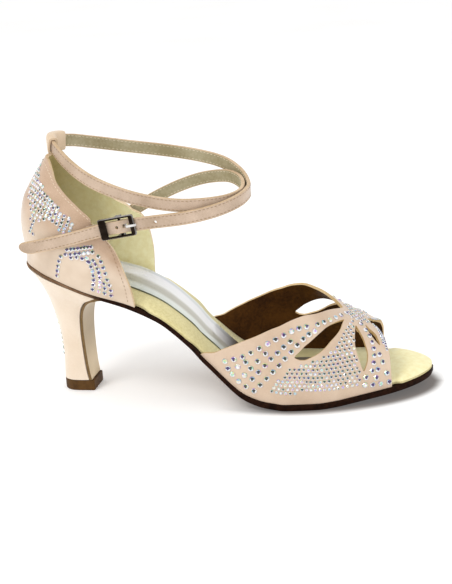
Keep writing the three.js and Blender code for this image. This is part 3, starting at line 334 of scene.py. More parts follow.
# directions from the tongue's front line into the heel, level at the foot
def tongueNormal(x, z):
    way = unit(np.stack([np.gradient(x), np.gradient(z)], -1))
    inward = np.stack([-way[:, 1], way[:, 0]], -1)
    inward[0] = (-1, 0)
    return inward


def buildTongue():
    x, z, half = tonguePath()
    inward = tongueNormal(x, z)
    thick = np.full(len(x), shoe["flapThick"])
    thick[-1] = float(thickAt(shoe["seatLength"])) * tongue["endThick"]
    r = tongue["edge"]
    front, edge = np.zeros_like(thick), np.full_like(thick, r)
    across = np.stack([-half, -half + r, half - r, half, half, half - r, -half + r, -half], -1)
    deep = np.stack([edge, front, front, edge, thick - r, thick, thick, thick - r], -1)
    rings = np.stack([
        x[:, None] + inward[:, :1] * deep, across, z[:, None] + inward[:, 1:] * deep], -1)
    bands = [1, 0, 1, 1, 1, 1, 1, 1]
    piece = loftPiece("heel_breast", rings, [breastSatin(), grained("breastEdge")], bands, 1)
    return fitPiece(piece, "sole_leather", "outsole")


# rounded back of a section of the heel, from the near side to the far one
def heelArc(back, bow, wide, count):
    angle = np.linspace(-np.pi / 2, np.pi / 2, count)[None, :]
    x = back + bow * (1 - powered(np.cos(angle), heel["roundness"]))
    return x, powered(np.sin(angle), heel["roundness"]) * wide


# heel: D shaped rings between the tip and the seat, fronts lying against the tongue
def buildHeel():
    x, z, half = tonguePath()
    inward = tongueNormal(x, z)
    behind = shoe["flapThick"] + shoe["gap"]
    innerX, innerZ = x + inward[:, 0] * behind, z + inward[:, 1] * behind
    order = np.argsort(innerZ)
    frontAt = smoothThrough(innerZ[order][::3], innerX[order][::3])
    halfAt = smoothThrough(z[::3], half[::3])
    level = np.linspace(0, 1, heel["levels"])[:, None]
    front = frontAt(heelHeight(np.zeros_like(level), level))
    for _ in range(heel["rounds"]):
        front = (front + frontAt(heelHeight(front, level))) / 2
    back = tipBack + heelBack(level)
    wide = heel["tipWidth"] / 2 + heelWide(level)
    frontHalf = np.minimum(halfAt(heelHeight(front, level)), wide)
    bow = np.minimum(wide * heel["bowWide"], (front - back) * heel["bowDeep"])
    arcX, arcY = heelArc(back, bow, wide, heel["backPoints"])
    t = np.linspace(0, 1, heel["sidePoints"])[None, 1:]
    sideX = back + bow + (front - back - bow) * t
    sideY = wide + (frontHalf - wide) * t * t
    q = np.linspace(1, -1, heel["frontPoints"])[None, 1:-1]
    px = np.hstack([arcX, sideX, front + q * 0, sideX[:, ::-1]])
    py = np.hstack([arcY, sideY, q * frontHalf, -sideY[:, ::-1]])
    rings = np.stack([px, py, heelHeight(px, level)], -1)
    piece = loftPiece("heel_cover", rings, [plainSatin("heelSatin")], sharpAngle=50)
    return fitPiece(piece, "heel_satin", "heel")


# top piece: its foot and head set in a little, its front corners cut off
def buildTip():
    cut, footInset, headInset = 0.4, 0.35, 0.25
    level = np.array([0, footInset, heel["tipHeight"] - headInset, heel["tipHeight"]])[:, None]
    inset = np.array([footInset, 0, 0, headInset])[:, None]
    x, y = heelArc(tipBack, heel["tipLength"] * heel["tipBow"], heel["tipWidth"] / 2, 41)
    edge = heel["tipFrontWidth"] / 2
    x = np.hstack([x, [[tipFront - cut, tipFront, tipFront, tipFront - cut]]])
    y = np.hstack([y, [[edge, edge - cut, -edge + cut, -edge]]])
    middle = (tipBack + tipFront) / 2
    shrink = 1 - inset / (heel["tipLength"] / 2)
    rings = np.stack(np.broadcast_arrays(middle + (x - middle) * shrink, y * shrink, level), -1)
    piece = loftPiece("heel_top_piece", rings, [grained("tipRubber")])
    return fitPiece(piece, "tip", "heel_tip")


# footbed: crowned insole set in under the uppers, its edge rounded over
footbedSizes = dict(
    thick=5.2, edge=2.2, bareMargin=0.9, setIn=3.4, crownRun=14, heelRun=7, endRound=14, medialLift=4.6,
    roundEdge=1.1, stations=200, across=41, coverBack=0.3,
)
throatRows = np.array([
    (0, 0.4386), (0.02, 0.4682), (0.04, 0.4864), (0.07, 0.5114), (0.1, 0.5363), (0.13, 0.5659),
    (0.16, 0.5955), (0.19, 0.625), (0.22, 0.651), (0.25, 0.6746), (0.29, 0.7), (0.34, 0.7227),
    (0.41, 0.7477), (0.5, 0.78),
])
toeRows = np.array([
    (0, 0.89), (0.105, 0.8877), (0.218, 0.8855), (0.301, 0.8804), (0.37, 0.8759), (0.416, 0.8659),
    (0.453, 0.855), (0.479, 0.8441), (0.5, 0.8386),
])

# share of the footbed's lift towards the inner side, full at the waist
liftRows = np.array([
    (0, 0), (0.05, 0), (0.14, 0.7), (0.26, 1), (0.31, 0.8), (0.36, 0.4), (0.42, 0.2), (0.47, 0.08),
    (0.52, 0), (1, 0),
])


# how far the footbed stays inside the sole: further in where an upper covers it
def insoleEdges():
    f = footbedSizes
    length = shoe["soleLength"]
    back, front = f["coverBack"] * length, throatRows[0, 1] * length
    toe = toeRows[0, 1] * length
    bare, inset = f["bareMargin"], f["setIn"]
    return smoothThrough(*zip(
        (0, inset), (back + 1, inset), (back + 7, bare), (front - 7, bare), (front - 1.5, inset),
        (toe + 1.5, inset), (toe + 6, bare), (length, bare)))


marginAt = insoleEdges()
medialLiftAt = smoothTable(liftRows, 1, shoe["soleLength"], footbedSizes["medialLift"])
insoleStart = footbedSizes["setIn"] + 0.4
insoleEnd = shoe["soleLength"] - footbedSizes["bareMargin"]


# half width of the footbed on one side, rounded in towards its heel end
def insoleHalf(s, sideAt):
    inner = sideAt(s) - marginAt(s)
    endIn = np.maximum(1 - (s - insoleStart) / footbedSizes["endRound"], 0)
    return np.where(s < shoe["soleLength"] / 2, inner * np.sqrt(np.maximum(1 - endIn**2, 0)), inner)


# top of the footbed from the station and the share across: a crown that falls to the edge and both ends
def footbed(s, across):
    f = footbedSizes
    near, far = -insoleHalf(s, lateralAt), insoleHalf(s, medialAt)
    y = near + (far - near) * across
    run = np.minimum((insoleEnd - s) / f["crownRun"], (s - insoleStart) / f["heelRun"])
    rise = np.sin(np.clip(run, 0, 1) * np.pi / 2)
    fall = 1 - np.abs(across * 2 - 1) ** 3
    crown = f["edge"] + (f["thick"] - f["edge"]) * fall * rise
    raised = np.maximum(medialLiftAt(s), 0) * across * across
    return y, soleTop(s) + shoe["gap"] + crown + raised


def buildFootbed():
    f = footbedSizes
    s = cosSpaced(insoleStart, insoleEnd, f["stations"])[:, None]
    angle = np.linspace(0, np.pi, f["across"])[None, :]
    across = 0.5 - 0.5 * powered(np.cos(angle), 0.9)
    y, z = footbed(s, across)
    near, far = footbed(s, 0)[0], footbed(s, 1)[0]
    toEdge = np.minimum(y - near, far - y)
    r = np.minimum(f["roundEdge"], (far - near) * 0.3) + 1e-6
    left = np.clip(1 - toEdge / r, 0, 1)
    z = z - r * (1 - np.sqrt(1 - left**2))
    under = soleTop(s) + shoe["gap"]
    rings = place(s, np.hstack([y, far, near]), np.hstack([z, under, under]))
    columns = f["across"]
    bands = np.zeros(columns + 2, int)
    bands[[columns - 1, columns + 1]] = 1
    finishes = [footbedSuede(), grained("footbedEdge")]
    piece = loftPiece("footbed", rings, finishes, bands, 1, sharpAngle=60)
    return fitPiece(piece, "suede", "insole")


# silver sock: a thin stripe on the footbed, from its near edge to its far edge, with soft creases
sock = dict(stations=320, across=60, thick=0.7, lateral=9.5, medial=18.5, start=0.0615, end=0.7376)


def buildSock():
    length = shoe["soleLength"]
    s = np.linspace(sock["start"] * length, sock["end"] * length, sock["stations"])[:, None]
    share = np.linspace(0, 1, sock["across"])[None, :]
    near, far = -insoleHalf(s, lateralAt), insoleHalf(s, medialAt)
    y = -sock["lateral"] + (sock["lateral"] + sock["medial"]) * share + s * 0
    z = footbed(s, (y - near) / (far - near))[1] + shoe["gap"]
    top = place(s, y, z + sock["thick"] + sockCreases(s, share)).reshape(-1, 3)
    low = place(s, y, z - shoe["gap"] * 0.5).reshape(-1, 3)
    layers = {
        "along": np.broadcast_to(s, y.shape).ravel(),
        "across": np.broadcast_to(share, y.shape).ravel(),
    }
    foil = silverFoil()
    finishes = [foil, foil, grained("silverEdge")]
    piece = wallPiece("silver_sock", top, low, gridFaces(*y.shape), finishes, layers)
    return fitPiece(piece, "silver", "sock")


# creases of the sock: place along, side, length, slant and depth of each; a negative depth is a trough
creaseRows = np.array([
    (103, 0.30, 16, 0.9, -0.42), (107, 0.45, 14, 0.8, 0.3), (112, 0.35, 12, 0.7, -0.3),
    (98, 0.65, 10, -0.5, -0.22), (118, 0.6, 9, 0.6, -0.2), (57, 0.55, 2.4, 3.0, -0.5),
    (61, 0.74, 2.2, 3.2, 0.4), (56, 0.88, 2.0, 2.6, -0.5), (64, 0.64, 2.4, 2.8, -0.4),
    (53, 0.4, 2.2, 2.4, 0.35),
])


def sockCreases(s, share):
    width, narrow = sock["lateral"] + sock["medial"], 1.6
    dent = 0
    for at, side, size, slant, depth in creaseRows:
        across = (share - side) * width
        line = (s - at) - slant * across
        dent = dent + depth * np.exp(-(line / narrow) ** 2 - (across / size) ** 2)
    return dent


# vamp: sections are flattened arches over the sole, between a throat edge and a toe edge
vampRows = np.array([
    (0.3542, 1.06, 0.05), (0.4227, 1, 0.0535), (0.4909, 0.9302, 0.0575), (0.5591, 0.8605, 0.06),
    (0.6272, 0.7791, 0.0615), (0.6818, 0.686, 0.0625), (0.7182, 0.5872, 0.0625), (0.75, 0.5093, 0.0625),
    (0.7818, 0.4465, 0.056), (0.8091, 0.4058, 0.036), (0.8363, 0.3651, 0.0188), (0.8591, 0.3256, 0.0205),
    (0.8818, 0.2907, 0.0245), (0.9227, 0.2326, 0.025), (0.9682, 0.1744, 0.025),
])
vampSizes = dict(
    wall=1.6, margin=1.2, tuck=0.24, turns=190, shares=66, cutPoints=5, clear=0.55, fold=0.45,
    acrossPower=0.8, risePower=0.85,
)
cutOuts = dict(
    long=[
        (0.66, 0.112), (0.6732, 0.135), (0.685, 0.156), (0.6973, 0.179), (0.7209, 0.237),
        (0.7454, 0.305), (0.7695, 0.366), (0.7795, 0.388), (0.7768, 0.361), (0.7713, 0.315),
        (0.7613, 0.271), (0.7486, 0.23), (0.7368, 0.194), (0.72, 0.157), (0.6959, 0.123),
        (0.6846, 0.112), (0.6728, 0.108), (0.6659, 0.109),
    ],
    leaf=[
        (0.8078, 0.377), (0.8163, 0.339), (0.8241, 0.294), (0.8291, 0.249), (0.8332, 0.206),
        (0.8327, 0.158), (0.8287, 0.124), (0.8227, 0.098), (0.8136, 0.145), (0.806, 0.203),
        (0.8032, 0.242), (0.8041, 0.306),
    ],
    slit=[
        (0.8314, 0.423), (0.8414, 0.394), (0.8532, 0.37), (0.8595, 0.333), (0.8632, 0.277),
        (0.8541, 0.3), (0.845, 0.33), (0.8363, 0.371),
    ],
)
vampHeight = smoothTable(vampRows, 1, shoe["soleLength"], shoe["instepRise"])
vampMiddle = smoothTable(vampRows, 2, shoe["soleLength"], shoe["ballWidth"])
throatAt = smoothTable(throatRows, 1, 1, shoe["soleLength"])
toeAt = smoothTable(toeRows, 1, 1, shoe["soleLength"])


# the arch: half width times a power of the turn's cosine, height times a power of its sine
def arch(s, turn):
    v = vampSizes
    s, turn = np.broadcast_arrays(np.asarray(s, float), turn)
    c, h = np.cos(turn * np.pi), np.maximum(np.sin(turn * np.pi), 0)
    middle = vampMiddle(s)
    outward = np.where(c > 0, middle + lateralAt(s), medialAt(s) - middle) - v["margin"]
    y = middle - powered(c, v["acrossPower"]) * outward
    rise = vampHeight(s) * h ** v["risePower"]
    down = v["tuck"] * np.maximum(1 - rise, 0)
    return place(s, y, soleTop(s) + shoe["gap"] + rise - down)


# the vamp between its throat edge, share 0, and its toe edge, share 1
def vampSurface(turn, share):
    half = np.minimum(turn, 1 - turn)
    start, end = throatAt(half), toeAt(half)
    return arch(start + (end - start) * share, turn)


# closed centripetal curve through the corners of a cut-out
def closedCurve(rows, perSide):
    p = np.asarray(rows, float)
    a, b, c, d = np.roll(p, 1, 0), p, np.roll(p, -1, 0), np.roll(p, -2, 0)
    return curveBetween(a, b, c, d, perSide).reshape(-1, p.shape[1])


def curveBetween(a, b, c, d, perSide):
    t0, t1, t2 = (np.maximum(np.sum((q - r) ** 2, 1) ** 0.25, 1e-9)[:, None] for q, r in
                  ((b, a), (c, b), (d, c)))
    m1 = ((b - a) / t0 - (c - a) / (t0 + t1) + (c - b) / t1) * t1
    m2 = ((c - b) / t1 - (d - b) / (t1 + t2) + (d - c) / t2) * t1
    w = (np.arange(perSide) / perSide)[None, :, None]
    b, c, m1, m2 = (v[:, None] for v in (b, c, m1, m2))
    return (b + m1 * w + (-3 * b + 3 * c - 2 * m1 - m2) * w**2 + (2 * b - 2 * c + m1 + m2) * w**3)


# which points lie inside a closed outline, by counting the edges to one side of each
def insideLoop(points, loop):
    x, y = points[:, 0][:, None], points[:, 1][:, None]
    ax, ay = loop[:, 0][None], loop[:, 1][None]
    bx, by = np.roll(loop[:, 0], -1)[None], np.roll(loop[:, 1], -1)[None]
    crosses = (ay > y) != (by > y)
    run = np.where(by == ay, 1e-12, by - ay)
    return (np.sum(crosses & (x < (bx - ax) * (y - ay) / run + ax), 1) % 2) == 1


def nearLoop(points, loop, distance):
    gaps = points[:, None] - loop[None]
    return np.min(np.sum(gaps**2, -1), 1) < distance**2


# outlines of the cut-outs in turn and share, near side first, far side mirrored
def cutLoops():
    loops = []
    for rows in cutOuts.values():
        curve = closedCurve(rows, vampSizes["cutPoints"])
        for mirrored in (False, True):
            turn = 1 - curve[:, 1] if mirrored else curve[:, 1]
            half = np.minimum(turn, 1 - turn)
            start, end = throatAt(half), toeAt(half)
            share = (curve[:, 0] * shoe["soleLength"] - start) / (end - start)
            loops.append(np.stack([turn, share], -1))
    return loops


# the pattern piece of the vamp: a grid of turn and share, triangulated round the cut-outs
def vampPattern():
    v = vampSizes
    turn = np.linspace(0, 1, v["turns"] + 1)
    share = np.linspace(0, 1, v["shares"] + 1)
    grid = np.stack(np.meshgrid(turn, share, indexing="ij"), -1).reshape(-1, 2)
    scale = np.array([v["turns"], v["shares"]], float)
    loops = cutLoops()
    kept = np.ones(len(grid), bool)
    for loop in loops:
        kept &= ~insideLoop(grid, loop) & ~nearLoop(grid * scale, loop * scale, v["clear"])
    points = [grid[kept]]
    edges = []
    start = int(kept.sum())
    for loop in loops:
        number = np.arange(len(loop)) + start
        edges.append(np.stack([number, np.roll(number, -1)], -1))
        points.append(loop)
        start += len(loop)
    flat = np.concatenate(points) * scale
    corners, _, faces, *_ = geometry.delaunay_2d_cdt(
        [Vector(p) for p in flat.tolist()], np.concatenate(edges).tolist(), [], 0, 1e-5)
    flat = np.array([tuple(p) for p in corners]) / scale
    faces = np.array([face for face in faces if len(face) == 3])
    middle = flat[faces].mean(1)
    for loop in loops:
        faces = faces[~insideLoop(middle, loop)]
        middle = flat[faces].mean(1)
    return flat, faces


def buildVamp():
    v = vampSizes
    flat, faces = vampPattern()
    turn, share = flat[:, 0], flat[:, 1]
    outer = vampSurface(turn, share)
    inner = movedGrid(vampSurface, turn, share, v["wall"])
    inner[:, 2] = np.maximum(inner[:, 2], outer[:, 2].min())
    finishes = [plainSatin("vampSatin"), grained("vampLining"), grained("cutEdge")]
    piece = wallPiece("vamp_upper", outer, inner, faces, finishes, {"turn": turn, "share": share}, v["fold"])
    return fitPiece(piece, "satin", "vamp")


# counter and quarters: round at the back, straight along the sides, bulging over the sole
backRows = np.array([
    (0, 0.0009), (0.1021, 0.0027), (0.2073, -0.0005), (0.2903, -0.0023), (0.3636, -0.0018),
    (0.4354, 0.0009), (0.5088, 0.0055), (0.5805, 0.0123), (0.6699, 0.0259), (0.7416, 0.0373),
    (0.8453, 0.0545), (0.9569, 0.0732), (1.0207, 0.0818),
])
bulgeRows = np.array([
    (0, 0), (0.1276, 0.0285), (0.2871, 0.0488), (0.4785, 0.0366), (0.638, 0.0041), (0.7974, -0.0711),
    (0.9729, -0.1728), (1.0207, -0.2033),
])
collarRows = dict(
    lateral=np.array([
        (0, 0.968), (0.15, 0.975), (0.29, 0.971), (0.4563, 0.9187), (0.5413, 0.857), (0.6263, 0.81),
        (0.7063, 0.7687), (0.8038, 0.7177), (0.8913, 0.6651), (0.9163, 0.6236), (1, 0.5502),
    ]),
    medial=np.array([
        (0, 0.968), (0.13, 0.975), (0.2522, 0.971), (0.3967, 0.91), (0.5446, 0.815), (0.6989, 0.7177),
        (0.8109, 0.6683), (0.8674, 0.6523), (0.913, 0.6188), (0.9772, 0.6045), (1, 0.5837),
    ]),
)
frontRows = dict(
    lateral=np.array([
        (0, 0.98), (0.16, 0.974), (0.29, 0.965), (0.44, 0.945), (0.58, 0.922), (0.7, 0.903),
        (0.85, 0.867), (1, 0.8),
    ]),
    medial=np.array([
        (0, 0.98), (0.21, 0.975), (0.49, 0.975), (0.65, 0.969), (0.81, 0.956), (0.92, 0.941), (1, 0.92),
    ]),
)
quarter = dict(wall=2, margin=0.6, roundWay=0.55, squareness=2.08, around=260, up=80, fold=0.5)
counterMiddle = 0.15 * shoe["soleLength"] - shoe["setback"]
quarterEnd = footbedSizes["coverBack"] * shoe["soleLength"] - shoe["setback"]
counterBack = smoothTable(backRows, 1, shoe["counterHeight"], shoe["soleLength"])
counterBulge = smoothTable(bulgeRows, 1, shoe["counterHeight"], shoe["seatWidth"])
collarAt = {side: smoothTable(rows, 1, 1, shoe["counterHeight"]) for side, rows in collarRows.items()}
frontReach = {side: smoothTable(rows, 1, 1, 1) for side, rows in frontRows.items()}


# a point of the counter from the way round it, its height over the sole and its side
def counterPoint(way, up, side):
    q = quarter
    power = 2 / q["squareness"]
    angle = np.minimum(way / q["roundWay"], 1) * np.pi / 2
    back = counterBack(up) - shoe["setback"]
    bow = counterMiddle - (counterMiddle - back) * np.abs(np.cos(angle)) ** power
    run = counterMiddle + (quarterEnd - counterMiddle) * (way - q["roundWay"]) / (1 - q["roundWay"])
    x = np.where(way < q["roundWay"], bow, run)
    s = np.maximum(x, counterMiddle) + shoe["setback"]
    half = np.where(side < 0, lateralAt(s), medialAt(s)) - q["margin"] + counterBulge(up)
    y = side * half * np.where(way < q["roundWay"], np.sin(angle) ** power, 1)
    z = soleTop(x + shoe["setback"]) + shoe["gap"] + up
    return np.stack(np.broadcast_arrays(x, y, z), -1)


# a point of the quarters: across from the near front edge round the heel to the far one, up to the collar
def quarterSurface(u, v):
    run = u * 2 - 1
    way, near = np.abs(run), run < 0
    reach = np.where(near, frontReach["lateral"](v), frontReach["medial"](v))
    height = np.where(near, collarAt["lateral"](way), collarAt["medial"](way))
    return counterPoint(way * reach, v * height, np.where(near, -1.0, 1.0))


def buildQuarter():
    q = quarter
    u, v = np.meshgrid(np.linspace(0, 1, q["around"] + 1), np.linspace(0, 1, q["up"] + 1), indexing="ij")
    outer = quarterSurface(u, v).reshape(-1, 3)
    inner = movedGrid(quarterSurface, u, v, q["wall"]).reshape(-1, 3)
    piece = wallPiece("counter_and_quarters", outer, inner, gridFaces(*u.shape),
                      [quarterSatin(), quarterLining(), grained("foldedEdge")],
                      {"around": u.ravel(), "up": v.ravel()}, q["fold"])
    return fitPiece(piece, "satin", "quarter")


# ankle strap: a flat ribbon on one smooth route, twice round the ankle
strapRows = np.array([
    (0.1978, 0.54, 0.2114), (0.2477, 0.5366, 0.3238), (0.3305, 0.5203, 0.4785), (0.3982, 0.4797, 0.5774),
    (0.4532, 0.4106, 0.6316), (0.5091, 0.2764, 0.6555), (0.5445, 0.0854, 0.6284),
    (0.5537, -0.1321, 0.5821), (0.5327, -0.313, 0.5598), (0.4909, -0.4228, 0.5487),
    (0.4236, -0.4797, 0.5471), (0.3541, -0.4878, 0.579), (0.2813, -0.4512, 0.638),
    (0.2059, -0.3699, 0.7321), (0.151, -0.2561, 0.8373), (0.1045, -0.1016, 0.9594),
    (0.09, 0.0203, 1.0029), (0.1182, 0.2236, 0.992), (0.1577, 0.3659, 0.9553), (0.2504, 0.4959, 0.8916),
    (0.3495, 0.5325, 0.8421), (0.4263, 0.5041, 0.8006), (0.4788, 0.435, 0.7628), (0.5062, 0.3659, 0.7313),
    (0.5292, 0.2724, 0.6942), (0.5472, 0.1748, 0.6554), (0.5615, 0.0447, 0.6181),
    (0.5677, -0.0813, 0.5949), (0.5555, -0.2967, 0.5598), (0.515, -0.4553, 0.512),
    (0.4486, -0.5366, 0.4625), (0.355, -0.5589, 0.4227), (0.2782, -0.561, 0.3884),
    (0.2332, -0.565, 0.3525), (0.1327, -0.5793, 0.2632), (0.0364, -0.6098, 0.201),
])
strap = dict(
    width=6.7, thick=1.8, point=7, loopRow=16, buckleRow=32, steps=900, pointSteps=40,
    holes=(-0.1, 20), holeRadius=0.8, edge=0.45,
)
strapKnots = np.stack([
    strapRows[:, 0] * shoe["soleLength"] - shoe["setback"],
    strapRows[:, 1] * shoe["seatWidth"],
    shoe["seatHeight"] + strapRows[:, 2] * shoe["counterHeight"],
], -1)


def strapRoute():
    p = np.vstack([2 * strapKnots[0] - strapKnots[1], strapKnots, 2 * strapKnots[-1] - strapKnots[-2]])
    perSide = 60
    line = curveBetween(p[:-3], p[1:-2], p[2:-1], p[3:], perSide).reshape(-1, 3)
    line = np.vstack([line, strapKnots[-1]])
    length = lengthAlong(line)
    return line, length, length[::perSide]


strapLine, strapLength, knotLength = strapRoute()
strapTotal = strapLength[-1]


# the ribbon's own directions at a length: along it, across it and outwards
def strapFrame(length):
    reach = 0.4
    length = np.clip(np.asarray(length, float), 0, strapTotal)
    point = interpLine(length, strapLength, strapLine)
    ahead = interpLine(np.minimum(length + reach, strapTotal), strapLength, strapLine)
    behind = interpLine(np.maximum(length - reach, 0), strapLength, strapLine)
    tangent = unit(ahead - behind)
    wide = unit(np.array([0, 0, 1.0]) - tangent * tangent[..., 2:])
    return point, tangent, wide, np.cross(tangent, wide)


def strapPlace(length, wide, out):
    point, _, across, outward = strapFrame(length)
    return point + across * np.asarray(wide)[..., None] + outward * np.asarray(out)[..., None]


buckle = dict(
    length=19, width=11, bar=1.5, frontBar=2.6, rearBar=4, rail=1.2, pin=0.7, prongWide=1.2,
    prongThick=1, tabThick=1.1, hump=1.5, corner=1.0, windowCorner=0.3, lug=0.9, pinPoints=20,
)
buckleLength = knotLength[strap["buckleRow"]]
halfLong, halfWide = buckle["length"] / 2, buckle["width"] / 2
windowFront, windowBack = halfLong - buckle["frontBar"], -halfLong + buckle["rearBar"]
windowTop = halfWide - buckle["rail"]
pinX = (windowFront + windowBack) / 2
barZ = strap["thick"] / 2 + shoe["gap"]
eyeRadius = buckle["pin"] + shoe["gap"] + max(buckle["prongThick"], buckle["tabThick"])
pinZ = buckle["hump"] - strap["thick"] / 2 - shoe["gap"] - eyeRadius
stepX = pinX + eyeRadius + 1.4
bucklePoint, buckleTangent, buckleUp, _ = strapFrame(buckleLength)
buckleFront = -buckleTangent
buckleOut = np.cross(buckleFront, buckleUp)


# millimetres beside the buckle's middle: along to the front, up, outwards
def buckleSpace(points):
    points = np.asarray(points, float)
    axes = np.stack([buckleFront, buckleUp, buckleOut])
    return bucklePoint + points @ axes


# the strap's dip inwards under the pin of the buckle
def humpAt(length):
    away = np.abs(buckleLength - length - pinX) / (windowFront - pinX)
    return np.where(away < 1, buckle["hump"] * np.cos(np.minimum(away, 1) * np.pi / 2) ** 2, 0)


# takes bodies, given as two rings each, away from a piece; the cut faces get its third material
def cutAway(piece, *bodies):
    cutters = []
    for rings in bodies:
        rows, columns = rings.shape[:2]
        groups = [(gridFaces(rows, columns, closed=True), 0), (endFaces(rows, columns), 0)]
        cutter = makePiece("cutter", rings, groups, list(piece.data.materials)[2:])
        cut = piece.modifiers.new("cut", "BOOLEAN")
        cut.operation = "DIFFERENCE"
        cut.solver = "EXACT"
        cut.object = cutter
        cutters.append(cutter)
    graph = bpy.context.evaluated_depsgraph_get()
    mesh = bpy.data.meshes.new_from_object(piece.evaluated_get(graph))
    piece.modifiers.clear()
    piece.data = mesh
    for cutter in cutters:
        bpy.data.objects.remove(cutter)


def boxRings(x0, x1, y0, y1, z0, z1):
    corners = np.array([(x0, y0), (x1, y0), (x1, y1), (x0, y1)])
    return np.stack([levelRing(corners, z) for z in (z0, z1)])


def roundedFall(t):
    return np.sqrt(1 - (1 - np.clip(t, 0, 1)) ** 2)


# section of the strap, upper face and far edge: share across, inset and sink as shares of the edge's radius
strapSection = np.array([
    (0, 1, 0), *((share, 0, 0) for share in np.linspace(0.12, 0.88, 5)),
    (1, 1, 0), (1, 0.3, 0.12), (1, 0, 1),
])
strapSection = np.concatenate([
    np.column_stack([strapSection, np.ones(9)]), np.column_stack([strapSection[::-1], -np.ones(9)]),
    [(0, 0.3, 0.12, -1), (0, 0, 1, -1), (0, 0, 1, 1), (0, 0.3, 0.12, 1)],
])
strapBands = np.full(len(strapSection), 2)
strapBands[0:6], strapBands[11:17] = 1, 0


def strapHole(at, deep):
    radius, angle = strap["holeRadius"], fullTurn(24)
    length = buckleLength - at - radius * np.cos(angle)
    return np.stack([strapPlace(length, radius * np.sin(angle), angle * 0 + out) for out in (-deep, deep)])


def buildStrap():
    point = strap["point"]
    length = np.concatenate([
        np.linspace(0, strapTotal - point, strap["steps"]),
        strapTotal - point * np.linspace(1, 0, strap["pointSteps"])[1:] ** 1.8,
    ])[:, None]
    # the free end comes in from both edges to a rounded point
    left = (strapTotal - length) / point
    top = strap["width"] / 2 * (0.45 + 0.55 * roundedFall(left * 3))
    bottom = -strap["width"] / 2 * (roundedFall(left) * 1.3 - 0.3)
    r = np.minimum(strap["edge"], (top - bottom) * 0.3)
    share, inset, sink, face = strapSection.T
    wide = top + (bottom - top) * share + (2 * share - 1) * inset * r
    out = face * (strap["thick"] / 2 - sink * r) - humpAt(length)
    layers = {"along": np.broadcast_to(length, wide.shape).ravel(), "across": wide.ravel()}
    finishes = [plainSatin("strapSatin"), grained("strapLining"), grained("strapEdge")]
    piece = loftPiece("ankle_strap_ribbon", strapPlace(length + wide * 0, wide, out), finishes,
                      strapBands, 2, layers, 60)
    deep = strap["thick"] + buckle["hump"]
    half = buckle["prongWide"] / 2 + shoe["gap"]
    slot = boxRings(stepX - 1 - shoe["gap"], stepX + 1.3 + shoe["gap"], -half, half, -deep, deep)
    cutAway(piece, buckleSpace(slot), *(strapHole(at, deep) for at in strap["holes"]))
    return fitPiece(piece, "satin", "ankle_strap")


# heel loop: a soft sleeve round the strap on top of the counter
loop = dict(length=12.5, shift=1.5, wall=1.4, play=0.5, rounds=40, steps=30, lip=0.25)


def buildLoop():
    middle = knotLength[strap["loopRow"]] + loop["shift"]
    angle = fullTurn(loop["rounds"])[None, :]
    t = np.linspace(-0.5, 0.5, loop["steps"])
    t = np.concatenate([t, t[::-1]])[:, None]
    outside = np.repeat([1, 0], loop["steps"])[:, None]
    grow = loop["wall"] * outside - loop["lip"] * outside * np.abs(t * 2) ** 6
    wide = strap["width"] / 2 + loop["play"] + grow
    thick = strap["thick"] / 2 + loop["play"] + grow
    y, z = powered(np.cos(angle), 0.5) * wide, powered(np.sin(angle), 0.5) * thick
    rings = strapPlace(middle + t * loop["length"] + y * 0, y, z)
    rings = np.concatenate([rings, rings[:1]])
    rows, columns = rings.shape[:2]
    piece = makePiece("strap_loop", rings, [(gridFaces(rows, columns, closed=True), 0)],
                      [plainSatin("loopSatin")], None, 50)
    return fitPiece(piece, "satin", "heel_loop")


# buckle: a flat frame round a window, its edges bevelled, with the centre pin
def buildBuckle():
    b = buckle
    deep = [barZ, barZ + 0.35, barZ + b["bar"] - 0.45, barZ + b["bar"]]
    inset = [0.2, 0, 0, 0.4]
    rings = []
    for z, off in zip(deep, inset):
        outline = roundedBox(-halfLong + off, halfLong - off, -halfWide + off, halfWide - off, b["corner"])
        rings.append(levelRing(outline, z))
    for z, off in zip(deep[::-1], inset[::-1]):
        side = windowTop + off * 0.6
        outline = roundedBox(windowBack - off, windowFront + off, -side, side, b["windowCorner"])
        rings.append(levelRing(outline, z))
    rings = np.stack([*rings, rings[0]])
    rows, columns = rings.shape[:2]
    faces = gridFaces(rows, columns, closed=True)
    # the outer wall and upper bevel of the frame get the paler plate, a painted highlight along its edges
    rim = np.isin(np.arange(len(faces)) // columns, (1, 2))
    finish = plate("darkPlate")
    piece = makePiece("buckle", buckleSpace(rings.reshape(-1, 3)), [(faces[~rim], 0), (faces[rim], 1)],
                      [finish, plate("edgeHighlightPlate")], None, 30)
    fitPiece(piece, "dark_metal", "buckle_frame")
    fitPiece(bucklePin(finish), "dark_metal", "buckle_frame")


# centre pin of the buckle with a lug at each end that hangs from the frame
def bucklePin(finish):
    radius, count = buckle["pin"], buckle["pinPoints"]
    angle = fullTurn(count)
    reach = windowTop + buckle["rail"] / 2
    x, z = pinX + radius * np.cos(angle), pinZ - radius * np.sin(angle)
    rod = np.stack([np.stack([x, angle * 0 + y, z], -1) for y in (-reach, reach)])
    groups = [(gridFaces(2, count, closed=True), 0), (endFaces(2, count), 0)]
    points = [rod.reshape(-1, 3)]
    wide = radius + buckle["lug"]
    for side in (-1, 1):
        low, high = sorted((side * (windowTop + 0.05), side * (halfWide - 0.2)))
        box = boxRings(pinX - wide, pinX + wide, low, high, pinZ - radius - 0.3, barZ + buckle["bar"] * 0.5)
        start = sum(len(p) for p in points)
        groups.append((gridFaces(2, 4, closed=True, start=start), 0))
        groups.append((endFaces(2, 4) + start, 0))
        points.append(box.reshape(-1, 3))
    return makePiece("buckle_pin", buckleSpace(np.concatenate(points)), groups, [finish], None, 40)


